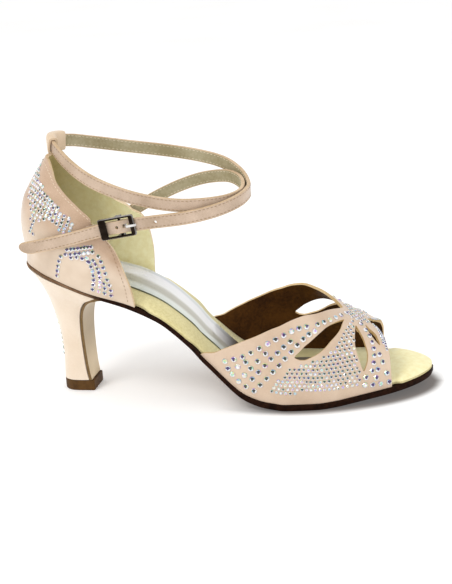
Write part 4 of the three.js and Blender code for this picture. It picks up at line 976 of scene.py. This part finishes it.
# outline of a box with round corners, the same count of points for each size
def roundedBox(x0, x1, y0, y1, radius):
    angle = np.linspace(0, np.pi / 2, 6)
    centres = [(x1 - radius, y1 - radius), (x0 + radius, y1 - radius),
               (x0 + radius, y0 + radius), (x1 - radius, y0 + radius)]
    return np.concatenate([
        np.stack([x + radius * np.cos(angle + turn), y + radius * np.sin(angle + turn)], -1)
        for (x, y), turn in zip(centres, fullTurn(4))])


# rhinestones: rings of eight corners from the glued base over the girdle up to the table; most facets between
# base and girdle carry a painted contact shadow in grey
stone = dict(
    sides=8, radii=(1.03, 0.97, 0.76, 0.42), heights=(-0.12, 0.1, 0.32, 0.48), lean=0.05,
    vampPitch=2.5, vampRise=2.15, vampSize=0.98, counterPitch=2.75, counterRise=2.45, counterSize=1.08,
)
luck = np.random.default_rng(7)

# single rows of stones on the vamp: station and turn at the start, the middle and the end, count, size
vampStoneRows = [
    (109.0, 0.027, 131.6, 0.129, 151.8, 0.227, 11, 1.62),
    (157.6, 0.269, 165.6, 0.353, 172.9, 0.457, 6, 1.5),
    (123.6, 0.011, 140.4, 0.104, 156.0, 0.232, 11, 1.62),
    (119.4, 0.012, 131.5, 0.083, 143.2, 0.156, 8, 1.62),
    (115.7, 0.013, 122.4, 0.053, 130.3, 0.102, 5, 1.62),
    (112.6, 0.016, 115.6, 0.040, 119.9, 0.061, 3, 1.62),
    (110.4, 0.019, 110.4, 0.019, 110.4, 0.019, 1, 1.62),
    (181.5, 0.031, 187.5, 0.025, 194.2, 0.026, 4, 1.62),
    (182.0, 0.067, 184.7, 0.062, 187.4, 0.060, 2, 1.62),
    (193.1, 0.083, 193.1, 0.083, 193.1, 0.083, 1, 1.62),
    (185.4, 0.099, 186.2, 0.262, 180.5, 0.410, 8, 1.45),
    (188.3, 0.108, 191.0, 0.157, 189.4, 0.207, 3, 1.5),
    (188.8, 0.455, 191.7, 0.375, 193.4, 0.255, 13, 0.85),
    (187.3, 0.470, 190.2, 0.395, 191.8, 0.305, 10, 0.85),
]

# fields of small stones on the vamp, each an outline in station and turn
vampStoneFields = [
    [(130.0, 0.016), (137.7, 0.018), (145.4, 0.019), (158.9, 0.028), (170.4, 0.034), (177.6, 0.034),
     (178.9, 0.061), (178.6, 0.109), (177.7, 0.160), (176.8, 0.213), (176.5, 0.271), (176.7, 0.339),
     (177.5, 0.411), (175.2, 0.420), (173.2, 0.362), (171.4, 0.293), (168.6, 0.234), (164.3, 0.182),
     (159.0, 0.141), (153.9, 0.113), (149.5, 0.098), (145.3, 0.087), (141.2, 0.072), (138.5, 0.057),
     (134.2, 0.038)],
    [(175.5, 0.428), (180.2, 0.432), (184.5, 0.460), (187.0, 0.5), (174.0, 0.5), (173.2, 0.47)],
]

# fields and rows of stones on the counter, in way round it and share of its height
counterStoneField = [
    (0.462, 0.97), (0.425, 0.93), (0.345, 0.835), (0.285, 0.80), (0.254, 0.80), (0.229, 0.81), (0.209, 0.79),
    (0.190, 0.785), (0.168, 0.785), (0.160, 0.70), (0.218, 0.505), (0.224, 0.548), (0.240, 0.585),
    (0.266, 0.572), (0.298, 0.508), (0.318, 0.43), (0.335, 0.32), (0.352, 0.29), (0.344, 0.41),
    (0.340, 0.49), (0.344, 0.56), (0.372, 0.63), (0.405, 0.70), (0.425, 0.80), (0.447, 0.90),
]
counterStoneRows = [
    (0.214, 0.408, 0.163, 0.505, 0.112, 0.6, 8, 1.3),
    (0.238, 0.296, 0.254, 0.172, 0.264, 0.062, 5, 1.3), (0.222, 0.348, 0.168, 0.444, 0.112, 0.545, 7, 1.3),
    (0.205, 0.345, 0.172, 0.395, 0.141, 0.400, 4, 1.3), (0.141, 0.440, 0.133, 0.280, 0.147, 0.077, 8, 1.3),
    (0.118, 0.444, 0.109, 0.290, 0.125, 0.075, 8, 1.3), (0.092, 0.527, 0.085, 0.408, 0.084, 0.262, 5, 1.3),
    (0.098, 0.199, 0.1, 0.135, 0.104, 0.071, 3, 1.3), (0.079, 0.200, 0.078, 0.133, 0.081, 0.066, 3, 1.3),
]


# seats along one curve through three places, by the parabola through them
def rowSeats(rows):
    found = []
    for a0, b0, a1, b1, a2, b2, count, size in rows:
        t = np.linspace(0, 1, count)[:, None]
        places = np.array([(a0, b0), (a1, b1), (a2, b2)])
        weights = np.hstack([(1 - t) * (1 - 2 * t), 4 * t * (1 - t), t * (2 * t - 1)])
        found.append(np.column_stack([weights @ places, np.full(count, size)]))
    return np.concatenate(found)


# seats in staggered rows inside an outline: the rows keep one distance, measured up the surface
def fieldSeats(surface, outline, pitch, rise, size):
    across, upward = 240, 300
    outline = np.array(outline)
    low, high = outline.min(0), outline.max(0)
    a, b = np.linspace(low[0], high[0], across), np.linspace(low[1], high[1], upward)
    points = surface(a[:, None], b[None, :])
    gaps = np.linalg.norm(np.diff(points, axis=1), axis=-1)
    up = np.concatenate([np.zeros((across, 1)), np.cumsum(gaps, 1)], 1)
    along = lengthAlong(points[:, upward // 5])
    seats = []
    for row in range(int(up.max() / rise)):
        step = np.arange(pitch * (0.25 + 0.5 * (row % 2)), along[-1], pitch)
        column = np.round(np.interp(step, along, np.arange(across))).astype(int)
        height = rise * (row + 0.5)
        above = np.argmax(up[column] >= height, 1)
        column, above = column[above > 0], above[above > 0]
        before = up[column, above - 1]
        share = (height - before) / (up[column, above] - before)
        seats.append(np.stack([a[column], b[above - 1] + (b[1] - b[0]) * share], -1))
    seats = np.concatenate(seats)
    seats = seats[insideLoop(seats, outline)]
    return np.column_stack([seats, np.full(len(seats), size)])


# faceted stones as one mesh: eight sides with a random spin, a shade number for each facet
def stoneMesh(name, centre, outward, size, darkness, finish):
    count, sides = len(centre), stone["sides"]
    helper = np.where(np.abs(outward[:, 2:]) > 0.8, np.array([[1.0, 0, 0]]), np.array([[0, 0, 1.0]]))
    first = unit(np.cross(helper, outward))
    second = np.cross(outward, first)
    lean = luck.normal(0, stone["lean"], (count, 2))
    outward = unit(outward + first * lean[:, :1] + second * lean[:, 1:])
    spin = luck.uniform(0, 1, count)[:, None] * 2 * np.pi / sides
    angle = np.arange(sides)[None] * 2 * np.pi / sides + spin
    rim = np.cos(angle)[..., None] * first[:, None] + np.sin(angle)[..., None] * second[:, None]
    rings = [centre[:, None] + (rim * radius + outward[:, None] * height) * size[:, None, None]
             for radius, height in zip(stone["radii"], stone["heights"])]
    points = np.stack(rings, 1).reshape(-1, 3)
    levels = len(rings)
    side = gridFaces(levels, sides, closed=True)[:, [0, 3, 2, 1]]
    start = (np.arange(count) * levels * sides)[:, None, None]
    sideFaces = (side[None] + start).reshape(-1, 4)
    base, table = (end[None] + start[:, 0] for end in endFaces(levels, sides))
    piece = makePiece(name, points, [(sideFaces, 0), (base, 0), (table, 0)], [finish], None, 4, False)
    facets = facetShades(count, levels, angle, darkness)
    shade = piece.data.attributes.new("shade", "FLOAT", "FACE")
    shade.data.foreach_set("value", facets.astype(np.float32))
    return piece


# shade numbers: up to 0.74 pale tints and grey, above it the dark ones; low facets stay near white. The pale
# tints are painted reflections, the grey a painted contact shadow, the dark ones painted dark reflections in
# the stone's middle, and the near-white low facets painted light
facetTones = dict(pale=0.68, grey=0.74, teal=0.8, violet=0.95, greyShare=0.85, lowShare=0.2)


def facetShades(count, levels, angle, darkness):
    f = facetTones
    sides = stone["sides"]
    pale = luck.uniform(0, f["pale"], (count, levels - 1, sides))
    rising = np.sin(angle + np.pi / sides)[:, None, :]
    pale = np.where(rising < -0.2, pale * f["lowShare"], pale)
    # grey on most facets between base and girdle: a painted contact shadow round each stone
    pale[:, 0] = np.where(luck.uniform(0, 1, (count, sides)) < f["greyShare"], f["grey"], pale[:, 0])
    dark = np.where(luck.uniform(0, 1, (count, 1)) < darkness[:, 1:], f["teal"], f["violet"])
    isDark = luck.uniform(0, 1, (count, 1)) < darkness[:, :1]
    pale[:, 2] = np.where(isDark & (rising[:, 0] > 0.3), dark, pale[:, 2])
    table = np.where(isDark, dark, luck.uniform(0, f["grey"], (count, 1)))
    return np.concatenate([pale.ravel(), np.zeros(count), table[:, 0]])


# stones on both sides of the shoe: the far side mirrors the near one; all point away from the shoe's inside
def seatStones(name, surface, seats, mirrored, step, darkness):
    seats = np.concatenate([seats, mirrored])
    a, b = seats[:, 0], seats[:, 1]
    centre = surface(a, b)
    along = surface(a + step[0], b) - surface(a - step[0], b)
    up = surface(a, b + step[1]) - surface(a, b - step[1])
    outward = unit(np.cross(along, up))
    away = centre * [0, 1, 1] - [0, 0, centre[:, 2].mean() / 2]
    outward *= np.sign(np.sum(outward * away, -1))[:, None]
    piece = stoneMesh(name, centre, outward, seats[:, 2], darkness(a, b), rhinestone())
    return fitPiece(piece, "bright_metal")


# where the stones of the vamp have dark middles, which are painted dark reflections, in station and turn: the
# field's panel, its low edge, the back corner, and the rows beside the panel, where teal fades to violet
vampDark = dict(
    middleTurn=0.497, usualShare=0.85, panelStart=133, panelEnd=179, panelTurn=0.42, panelTeal=0.8,
    lowTurn=0.05, lowShare=0.06, cornerEnd=122, cornerTurn=0.06, cornerShare=0.35,
    tealAt=134, tealRun=18, tealPeak=1.4, tealLeast=0.03,
)


def buildVampStones():
    sizes = stone["vampPitch"], stone["vampRise"], stone["vampSize"]
    fields = [fieldSeats(arch, outline, *sizes) for outline in vampStoneFields]
    seats = np.concatenate([rowSeats(vampStoneRows), *fields])
    seats = seats[seats[:, 1] < vampDark["middleTurn"]]
    mirrored = seats * np.array([1, -1, 1]) + np.array([0, 1, 0])

    # share of stones with a painted dark reflection in the middle, and share of those that are teal instead
    # of violet
    def darkness(s, turn):
        d = vampDark
        turn = np.minimum(turn, 1 - turn)
        panel = (s > d["panelStart"]) & (s < d["panelEnd"]) & (turn < d["panelTurn"])
        dark = np.where((s < d["cornerEnd"]) & (turn < d["cornerTurn"]), d["cornerShare"], d["usualShare"])
        dark = np.where(panel & (turn < d["lowTurn"]), d["lowShare"], dark)
        fade = d["tealPeak"] - np.abs(s - d["tealAt"]) / d["tealRun"]
        return np.stack([dark, np.where(panel, d["panelTeal"], np.clip(fade, d["tealLeast"], 1))], -1)

    seatStones("vampStones", arch, seats, mirrored, (0.05, 0.002), darkness)


# the same two shares on the counter: painted dark middles mostly violet below its middle, mostly teal above
counterDark = dict(low=(0.85, 0.05), high=(0.55, 0.8))


def buildCounterStones():
    sizes = stone["counterPitch"], stone["counterRise"], stone["counterSize"]
    seats = fieldSeats(quarterSurface, counterStoneField, *sizes)
    seats = np.concatenate([seats, rowSeats(counterStoneRows)])
    mirrored = seats * np.array([-1, 1, 1]) + np.array([1, 0, 0])

    def darkness(around, up):
        return np.where((up < 0.5)[:, None], counterDark["low"], counterDark["high"])

    seatStones("counterStones", quarterSurface, seats, mirrored, (0.001, 0.002), darkness)


# two columns of small stones down the back of the heel, one on each side of its middle
heelColumns = dict(count=17, top=0.95, bottom=0.22, size=1.25, apart=1.7, lean=0.1, darkShare=0.9)


def buildHeelStones():
    c = heelColumns

    def spine(level):
        x = tipBack + heelBack(level)
        return np.stack([x, x * 0, heelHeight(x, level)], -1)

    level = np.tile(np.linspace(c["top"], c["bottom"], c["count"]), 2)
    side = np.repeat([-1, 1], c["count"])
    way = unit(spine(level + 0.01) - spine(level - 0.01))
    outward = unit(np.stack([-way[:, 2], side * c["lean"], way[:, 0]], -1))
    centre = spine(level) + [c["apart"] * c["lean"] / 2, 0, 0] + side[:, None] * [0, c["apart"], 0]
    sizes = np.full(len(level), c["size"])
    darkness = np.full((len(level), 2), c["darkShare"])
    piece = stoneMesh("heelStones", centre, outward, sizes, darkness, rhinestone())
    return fitPiece(piece, "bright_metal")


# stitches: short rods that rise out of the surface and dip at both ends
stitch = dict(
    long=1.5, pitch=2.1, half=0.17, rise=0.16, sink=0.12, inset=1.05, buckleFree=9.6,
    spots=(-0.5, -0.3, 0.3, 0.5), swell=(0.5, 1, 1, 0.5),
)


# a row of stitches from a dense line of points and the surface's outward directions
def stitchRow(line, outward):
    c = stitch
    length = lengthAlong(line)
    count = max(int(length[-1] / c["pitch"]), 1)
    middle = (np.arange(count) + 0.5) * length[-1] / count
    at = middle[:, None] + np.array(c["spots"]) * c["long"]
    centre = interpLine(at, length, line)
    out = unit(interpLine(at, length, outward))
    side = np.cross(out, unit(centre[:, 3:] - centre[:, :1])) * c["half"] * np.array(c["swell"])[:, None]
    lift = np.array([-c["sink"] * 0.5, c["rise"], c["rise"], -c["sink"] * 0.5])[:, None]
    top = centre + out * lift
    low = centre - out * c["sink"] * 2
    rings = np.stack([top + side * 0.5, top - side * 0.5, low - side, low + side], 2)
    return rings.reshape(-1, 3)


def stitchPiece(name, rows, finish):
    points = np.concatenate([stitchRow(line, outward) for line, outward in rows])
    one = np.concatenate([gridFaces(4, 4, closed=True), endFaces(4, 4)])
    start = np.arange(0, len(points), 16)[:, None, None]
    piece = makePiece(name, points, [((one[None] + start).reshape(-1, 4), 0)], [finish], None, 40)
    return fitPiece(piece, "satin")


# rows near both edges of the strap, on its outer face and on its lining
def buildStrapStitches():
    length = np.linspace(2, strapTotal - strap["point"] - 1, 1500)
    clear = np.abs(length - buckleLength - 1) > stitch["buckleFree"]
    parts = [clear & (length < buckleLength), clear & (length > buckleLength)]
    for name, side, finish in (("strapStitches", -1, "stitchDark"), ("liningStitches", 1, "stitchPale")):
        outward = strapFrame(length)[3] * side
        rows = []
        for edge in (-1, 1):
            wide = np.full(len(length), edge * (strap["width"] / 2 - stitch["inset"]))
            line = strapPlace(length, wide, side * strap["thick"] / 2 - humpAt(length))
            rows += [(line[part], outward[part]) for part in parts]
        stitchPiece(name, rows, grained(finish))


# rows under the topline and behind the front edge of the quarters
quarterStitch = dict(under=2.6, behind=3.4)


# a row on the quarters with its outward directions
def quarterRow(a, b):
    step = 0.002
    high = np.minimum(b + step, 1)
    along = quarterSurface(a + step, b) - quarterSurface(a - step, b)
    up = quarterSurface(a, high) - quarterSurface(a, high - 2 * step)
    return quarterSurface(a, b), unit(np.cross(up, along))


def buildQuarterStitches():
    a = np.linspace(0.035, 0.965, 900)
    tall = np.linalg.norm(quarterSurface(a, np.ones(900)) - quarterSurface(a, np.zeros(900)), axis=-1)
    stitchPiece("toplineStitches", [quarterRow(a, 1 - quarterStitch["under"] / tall)], grained("stitchPale"))
    b = np.linspace(0.04, 0.93, 300)
    near = 0.05
    rows = []
    for way in (0.0, 1.0):
        edge = quarterSurface(np.full(300, way), b)
        inner = quarterSurface(np.full(300, abs(way - near)), b)
        share = near * quarterStitch["behind"] / np.linalg.norm(edge - inner, axis=-1)
        rows.append(quarterRow(np.abs(way - share), b))
    stitchPiece("frontStitches", rows, grained("stitchDark"))


# a picture colour of 0 to 255 as a linear one
def srgb(r, g, b):
    c = np.array([r, g, b]) / 255
    linear = np.where(c > 0.04045, ((c + 0.055) / 1.055) ** 2.4, c / 12.92)
    return (*linear.tolist(), 1.0)


# a material under work: small helpers that add a node and join it up
class Finish:
    def __init__(self, name, roughness=0.5, metallic=0.0, specular=0.5, sheen=0.0, coat=0.0, coatRough=0.2):
        self.material = bpy.data.materials.new(name)
        self.material.use_nodes = True
        self.nodes = self.material.node_tree.nodes
        self.shader = self.nodes["Principled BSDF"]
        self.place = self.nodes.new("ShaderNodeTexCoord").outputs["Object"]
        for socket, value in (
                ("Roughness", roughness), ("Metallic", metallic), ("Specular IOR Level", specular),
                ("Sheen Weight", sheen), ("Coat Weight", coat), ("Coat Roughness", coatRough)):
            self.set(socket, value)

    # links a socket to another one, or gives it a value
    def give(self, socket, value):
        if isinstance(value, bpy.types.NodeSocket):
            self.material.node_tree.links.new(value, socket)
        else:
            socket.default_value = value

    def set(self, socket, value):
        self.give(self.shader.inputs[socket], value)

    # the base colour, kept for a later mix over it
    def colour(self, value):
        self.tone = value
        self.set("Base Color", value)

    def add(self, kind, values, **settings):
        node = self.nodes.new("ShaderNode" + kind)
        for key, value in settings.items():
            setattr(node, key, value)
        for key, value in values.items():
            self.give(node.inputs[key], value)
        return node

    def stretched(self, scale):
        return self.add("Mapping", {"Vector": self.place, "Scale": scale}).outputs["Vector"]

    def noise(self, scale, detail=2.0, rough=0.5, vector=None):
        values = {"Vector": vector or self.place, "Scale": scale, "Detail": detail, "Roughness": rough}
        return self.add("TexNoise", values).outputs["Fac"]

    def layer(self, name):
        return self.add("Attribute", {}, attribute_name=name).outputs["Fac"]

    def axis(self, name):
        return self.add("SeparateXYZ", {"Vector": self.place}).outputs[name]

    def math(self, operation, a, b):
        return self.add("Math", {0: a, 1: b}, operation=operation).outputs[0]

    # two noises added in shares of one
    def blend(self, a, b, share):
        return self.math("ADD", self.math("MULTIPLY", a, share), self.math("MULTIPLY", b, 1 - share))

    # 0 to 1 as a value runs from one bound to the other
    def between(self, value, low, high, **settings):
        values = {"Value": value, "From Min": low, "From Max": high}
        return self.add("MapRange", values, **settings).outputs["Result"]

    def ramp(self, value, stops, **settings):
        node = self.add("ValToRGB", {"Fac": value})
        bar = node.color_ramp
        for key, setting in settings.items():
            setattr(bar, key, setting)
        while len(bar.elements) < len(stops):
            bar.elements.new(1.0)
        for element, (position, tone) in zip(bar.elements, stops):
            element.position = position
            element.color = srgb(*tone)
        return node.outputs["Color"]

    # from a dark to a light colour round the middle of a noise
    def mottle(self, value, light, dark, spread=0.15):
        return self.ramp(value, [(0.5 - spread, dark), (0.5 + spread, light)])

    def mix(self, factor, a, b):
        node = self.add("Mix", {}, data_type="RGBA")
        sockets = {socket.name: socket for socket in node.inputs if socket.enabled}
        for name, value in (("Factor", factor), ("A", a), ("B", b)):
            self.give(sockets[name], value)
        return next(socket for socket in node.outputs if socket.enabled)

    def bump(self, height, strength, distance, **below):
        values = {"Height": height, "Strength": strength, "Distance": distance * mm, **below}
        normal = self.add("Bump", values).outputs["Normal"]
        self.set("Normal", normal)
        return normal


# light and dark tone of each satin
satinTones = dict(
    vampSatin=((220, 196, 172), (200, 173, 147)), heelSatin=((238, 222, 202), (226, 206, 182)),
    quarterSatin=((204, 174, 148), (174, 144, 116)), quarterLow=((224, 204, 182), (208, 186, 162)),
    breastSatin=((198, 174, 128), (174, 148, 100)), breastLow=((238, 216, 176), (218, 194, 150)),
    strapSatin=((208, 184, 162), (170, 146, 122)), loopSatin=((228, 204, 176), (210, 184, 152)),
)


# satin: a close weave with soft cloudy light and a broad gloss
def satin(name):
    finish = Finish(name, roughness=0.42, sheen=0.35, coat=0.12, coatRough=0.3)
    finish.set("Sheen Roughness", 0.4)
    fleck = finish.noise(1400, 2, 0.6, finish.stretched((1, 1, 2.4)))
    tone = finish.blend(finish.noise(48, 3, 0.55), fleck, 0.66)
    finish.colour(finish.mottle(tone, *satinTones[name], 0.14))
    threads = finish.noise(1500, 1, 0.4, finish.stretched((1, 1, 3.2)))
    weave = finish.bump(threads, 0.25, 0.06)
    finish.bump(finish.noise(170, 2, 0.5), 0.12, 0.5, Normal=weave)
    return finish


def plainSatin(name):
    return satin(name).material


# a satin over a paler tone that shows where the floor lights it, below the bounds given for its height
def litSatin(finish, low, height, bounds):
    paler = finish.mottle(finish.noise(60, 3), *satinTones[low], 0.14)
    finish.colour(finish.mix(finish.between(height, *bounds), paler, finish.tone))
    return finish.material


# counter: deeper under the topline, paler below the strap where the floor lights it
def quarterSatin():
    finish = satin("quarterSatin")
    return litSatin(finish, "quarterLow", finish.layer("up"), (0.34, 0.62))


# breast of the heel: deeper under the waist, paler low down where the floor lights it
def breastSatin():
    finish = satin("breastSatin")
    return litSatin(finish, "breastLow", finish.axis("Z"), (0.014, 0.034))


# leathers, suedes and threads: light and dark tone and what differs from the usual grain
grains = dict(
    soleSuede=dict(light=(150, 130, 108), dark=(120, 100, 80), roughness=0.9, scale=600, strength=0.4,
                   sheen=0.3),
    breastEdge=dict(light=(132, 106, 70), dark=(104, 80, 48), scale=400, strength=0.2, specular=0.2),
    tipRubber=dict(light=(92, 62, 22), dark=(66, 40, 10), roughness=0.55, scale=260, strength=0.15,
                   specular=0.2),
    footbedSuede=dict(light=(238, 228, 176), dark=(210, 198, 138), roughness=0.85, scale=520, strength=0.35,
                      spread=40, sheen=0.25),
    footbedEdge=dict(light=(218, 206, 156), dark=(192, 178, 126), roughness=0.8, scale=400, strength=0.3),
    silverEdge=dict(light=(120, 122, 104), dark=(84, 86, 70), scale=400, strength=0.1),
    vampLining=dict(light=(90, 54, 14), dark=(54, 26, 4), roughness=0.55, strength=0.2, specular=0.2),
    cutEdge=dict(light=(224, 196, 148), dark=(190, 156, 104), roughness=0.5, scale=500, strength=0.15),
    quarterLining=dict(light=(188, 173, 120), dark=(166, 150, 99), roughness=0.75, strength=0.3),
    foldedEdge=dict(light=(236, 214, 180), dark=(214, 186, 146), roughness=0.55, scale=500, strength=0.15),
    strapLining=dict(light=(178, 168, 138), dark=(150, 138, 104), roughness=0.7, strength=0.35),
    strapEdge=dict(light=(216, 190, 158), dark=(186, 158, 122), scale=500, strength=0.15),
    stitchDark=dict(light=(168, 136, 98), dark=(128, 98, 66), scale=600, strength=0.1),
    stitchPale=dict(light=(240, 228, 204), dark=(222, 206, 176), scale=600, strength=0.1),
)


# grainy leather or suede: fine speckle over a broad mottle
def grain(name):
    g = dict(roughness=0.6, scale=420, spread=70, sheen=0.0, specular=0.35) | grains[name]
    finish = Finish(name, roughness=g["roughness"], sheen=g["sheen"], specular=g["specular"])
    speckle = finish.noise(g["scale"] * 1.6, 3, 0.7)
    tone = finish.blend(finish.noise(g["spread"], 3), speckle, 0.55)
    finish.colour(finish.mottle(tone, g["light"], g["dark"], 0.12))
    finish.bump(finish.noise(g["scale"], 4, 0.6), g["strength"], 0.25)
    return finish


def grained(name):
    return grain(name).material


# burnished edge of the sole: nearly black, a paler brown under the seat of the heel
def soleEdge():
    finish = Finish("soleEdge", roughness=0.65, specular=0.06)
    apart = finish.between(finish.axis("X"), 0.012, 0.022)
    wear = finish.noise(300, 3, 0.6)
    black = finish.mottle(wear, (44, 22, 10), (22, 8, 3))
    brown = finish.mottle(wear, (134, 106, 82), (104, 78, 56))
    finish.colour(finish.mix(apart, brown, black))
    finish.bump(finish.noise(300, 4, 0.6), 0.15, 0.25)
    return finish.material


# suede of the footbed: paler under the toes, painted light where the open toe is lit
def footbedSuede():
    finish = grain("footbedSuede")
    # the paler toe tone is painted light on the open front of the footbed
    toe = finish.mottle(finish.noise(300, 3, 0.6), (252, 246, 198), (244, 234, 178))
    finish.colour(finish.mix(finish.between(finish.axis("X"), 0.125, 0.15), finish.tone, toe))
    return finish.material


# silver foil: white bands along it as the light runs, a grey one between, brown in front as the upper mirrors
def silverFoil():
    finish = Finish("silverFoil", roughness=0.34, metallic=0.15, coat=0.35, coatRough=0.12)
    along, across = finish.layer("along"), finish.layer("across")
    wave = finish.math("MULTIPLY", finish.math("SUBTRACT", finish.noise(26, 2), 0.5), 0.16)
    bands = finish.ramp(finish.math("ADD", across, wave), [
        (0.0, (226, 232, 224)), (0.14, (236, 240, 234)), (0.24, (194, 192, 178)), (0.4, (204, 202, 190)),
        (0.5, (252, 252, 252)), (0.78, (250, 250, 252)), (0.86, (216, 220, 224)), (1.0, (240, 244, 238))])
    mirrored = finish.math("MULTIPLY", finish.between(along, 103, 112), finish.between(across, 0.2, 0.46))
    brown = finish.mottle(finish.noise(70, 3), (118, 110, 98), (70, 60, 48))
    finish.colour(finish.mix(mirrored, bands, brown))
    fine = finish.bump(finish.noise(700, 3, 0.6), 0.12, 0.12)
    creases = finish.noise(330, 3, 0.6, finish.stretched((0.8, 2.2, 1)))
    finish.bump(finish.math("MULTIPLY", creases, finish.between(along, 84, 66)), 1.0, 2.2, Normal=fine)
    return finish.material


# lining of the quarters: deeper round the heel, pale at the far side's front that the light reaches
def quarterLining():
    finish = grain("quarterLining")
    pale = finish.mottle(finish.noise(300, 3, 0.6), (255, 250, 204), (246, 238, 184))
    finish.colour(finish.mix(finish.between(finish.layer("around"), 0.62, 0.84), finish.tone, pale))
    return finish.material


# rhinestone: clear shine, each facet its own tint from the shade number; the tints are painted reflections,
# the grey one a painted contact shadow
def rhinestone():
    finish = Finish("rhinestone", roughness=0.12, metallic=0.35, specular=0.9, coat=0.8, coatRough=0.04)
    finish.colour(finish.ramp(finish.layer("shade"), [
        (0.0, (236, 236, 238)), (0.16, (220, 212, 196)), (0.26, (220, 226, 160)), (0.36, (160, 210, 180)),
        (0.46, (150, 190, 216)), (0.56, (176, 146, 214)), (0.64, (218, 160, 190)), (0.72, (122, 112, 108)),
        (0.78, (10, 28, 26)), (0.9, (48, 18, 92))], interpolation="CONSTANT"))
    return finish.material


# plated metal: roughness, light and dark tone; the paler plate on the buckle's outer edges stands in for
# their highlights
plates = dict(
    darkPlate=(0.22, (44, 36, 30), (24, 18, 14)), edgeHighlightPlate=(0.25, (150, 146, 142), (112, 108, 104)),
    brightPlate=(0.25, (220, 218, 216), (196, 194, 192)),
)


def plate(name):
    roughness, light, dark = plates[name]
    finish = Finish(name, roughness=roughness, metallic=1.0)
    finish.colour(finish.mottle(finish.noise(200, 2), light, dark, 0.2))
    return finish.material


# camera: the photograph's own angle, rolled a little, looking at the middle of the shoe
cameraSizes = dict(
    azimuth=12.0, elevation=18.0, roll=-3.0, distance=560, target=(84.42, 0, 56.41), lens=83.36,
)


def buildCamera():
    c = cameraSizes
    a, e, r = (math.radians(c[key]) for key in ("azimuth", "elevation", "roll"))
    back = Vector((math.sin(a) * math.cos(e), -math.cos(a) * math.cos(e), math.sin(e)))
    right = Vector((math.cos(a), math.sin(a), 0))
    up = back.cross(right)
    rolledRight = right * math.cos(r) + up * math.sin(r)
    rolledUp = up * math.cos(r) - right * math.sin(r)
    data = bpy.data.cameras.new("camera")
    data.lens = c["lens"]
    data.sensor_fit = "HORIZONTAL"
    data.sensor_width = 36
    data.clip_start = 0.01
    camera = bpy.data.objects.new("camera", data)
    bpy.context.scene.collection.objects.link(camera)
    turn = Matrix((rolledRight, rolledUp, back)).transposed().to_4x4()
    camera.matrix_world = Matrix.Translation((Vector(c["target"]) + back * c["distance"]) * mm) @ turn
    bpy.context.scene.camera = camera


# studio: a bright even room, a large soft lamp from the upper left and a weak one from the right
studio = dict(
    room=0.9, floorTone=(252, 251, 250), floorReach=12000, floorGlow=0.12,
    shadeTone=(100, 88, 80), shadeStart=96, shadeRun=46, shadeFull=0.5, shadeEnd=7.5, stations=60,
    aim=(0.08, 0, 0.05), softLamp=((-0.45, -0.6, 1.1), 0.4, 4.6), fillLamp=((0.9, -0.5, 0.7), 0.6, 0.7),
)


def addLamp(name):
    spot, size, power = studio[name]
    data = bpy.data.lights.new(name, "AREA")
    data.shape = "DISK"
    data.size = size
    data.energy = power
    lamp = bpy.data.objects.new(name, data)
    lamp.location = spot
    lamp.rotation_euler = (Vector(studio["aim"]) - Vector(spot)).to_track_quat("-Z", "Y").to_euler()
    bpy.context.scene.collection.objects.link(lamp)


# floor: rings round the outline of the forefoot, with a contact shade that ends a little way out
def floorRings():
    c = studio
    s = np.linspace(c["shadeStart"], shoe["soleLength"], c["stations"])
    near, far = place(s, -lateralAt(s), 0), place(s, medialAt(s), 0)
    outline = np.concatenate([near, far[-2::-1]])
    middle = outline.mean(0)
    way = unit(outline - middle)
    rings = [np.broadcast_to(middle, way.shape), outline + way * c["shadeFull"],
             outline + way * c["shadeEnd"], middle + way * c["floorReach"]]
    fade = np.clip((s - c["shadeStart"]) / c["shadeRun"], 0, 1)
    fade = np.concatenate([fade, fade[-2::-1]])
    shade = np.concatenate([np.ones_like(fade), fade, fade * 0, fade * 0])
    return np.concatenate(rings), gridFaces(len(rings), len(outline), True), shade


# the room's light, the floor and the lamps
def buildStage():
    world = bpy.data.worlds.new("studioRoom")
    world.use_nodes = True
    light = world.node_tree.nodes["Background"]
    light.inputs["Color"].default_value = (1, 1, 1, 1)
    light.inputs["Strength"].default_value = studio["room"]
    bpy.context.scene.world = world
    finish = Finish("paleFloor", roughness=0.9, specular=0.1)
    white = finish.mottle(finish.noise(3, 1), (255, 255, 255), studio["floorTone"], 0.2)
    contact = finish.between(finish.layer("shade"), 0, 1, interpolation_type="SMOOTHSTEP")
    finish.colour(finish.mix(contact, white, srgb(*studio["shadeTone"])))
    finish.set("Emission Color", (1, 1, 1, 1))
    finish.set("Emission Strength", studio["floorGlow"])
    points, faces, shade = floorRings()
    floor = makePiece("floor", points, [(faces, 0)], [finish.material], {"shade": shade})
    addLamp("softLamp")
    addLamp("fillLamp")
    bpy.context.scene.view_settings.view_transform = "Standard"
    bpy.context.scene.view_settings.exposure = 0.0


buildCamera()
buildStage()
print("camera, lamps and floor")
buildOutsole()
buildTongue()
buildHeel()
buildTip()
print("sole and heel")
buildFootbed()
buildSock()
print("footbed")
buildVamp()
buildVampStones()
print("vamp and its stones")
buildQuarter()
buildLoop()
buildQuarterStitches()
buildCounterStones()
buildHeelStones()
print("counter, stitches and stones")
buildStrap()
buildStrapStitches()
buildBuckle()
for node, finish in (("prong", plate("brightPlate")), ("buckle_tab", plainSatin("strapSatin"))):
    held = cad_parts[node]
    held.data.materials.clear()
    held.data.materials.append(finish)
print("strap and buckle")
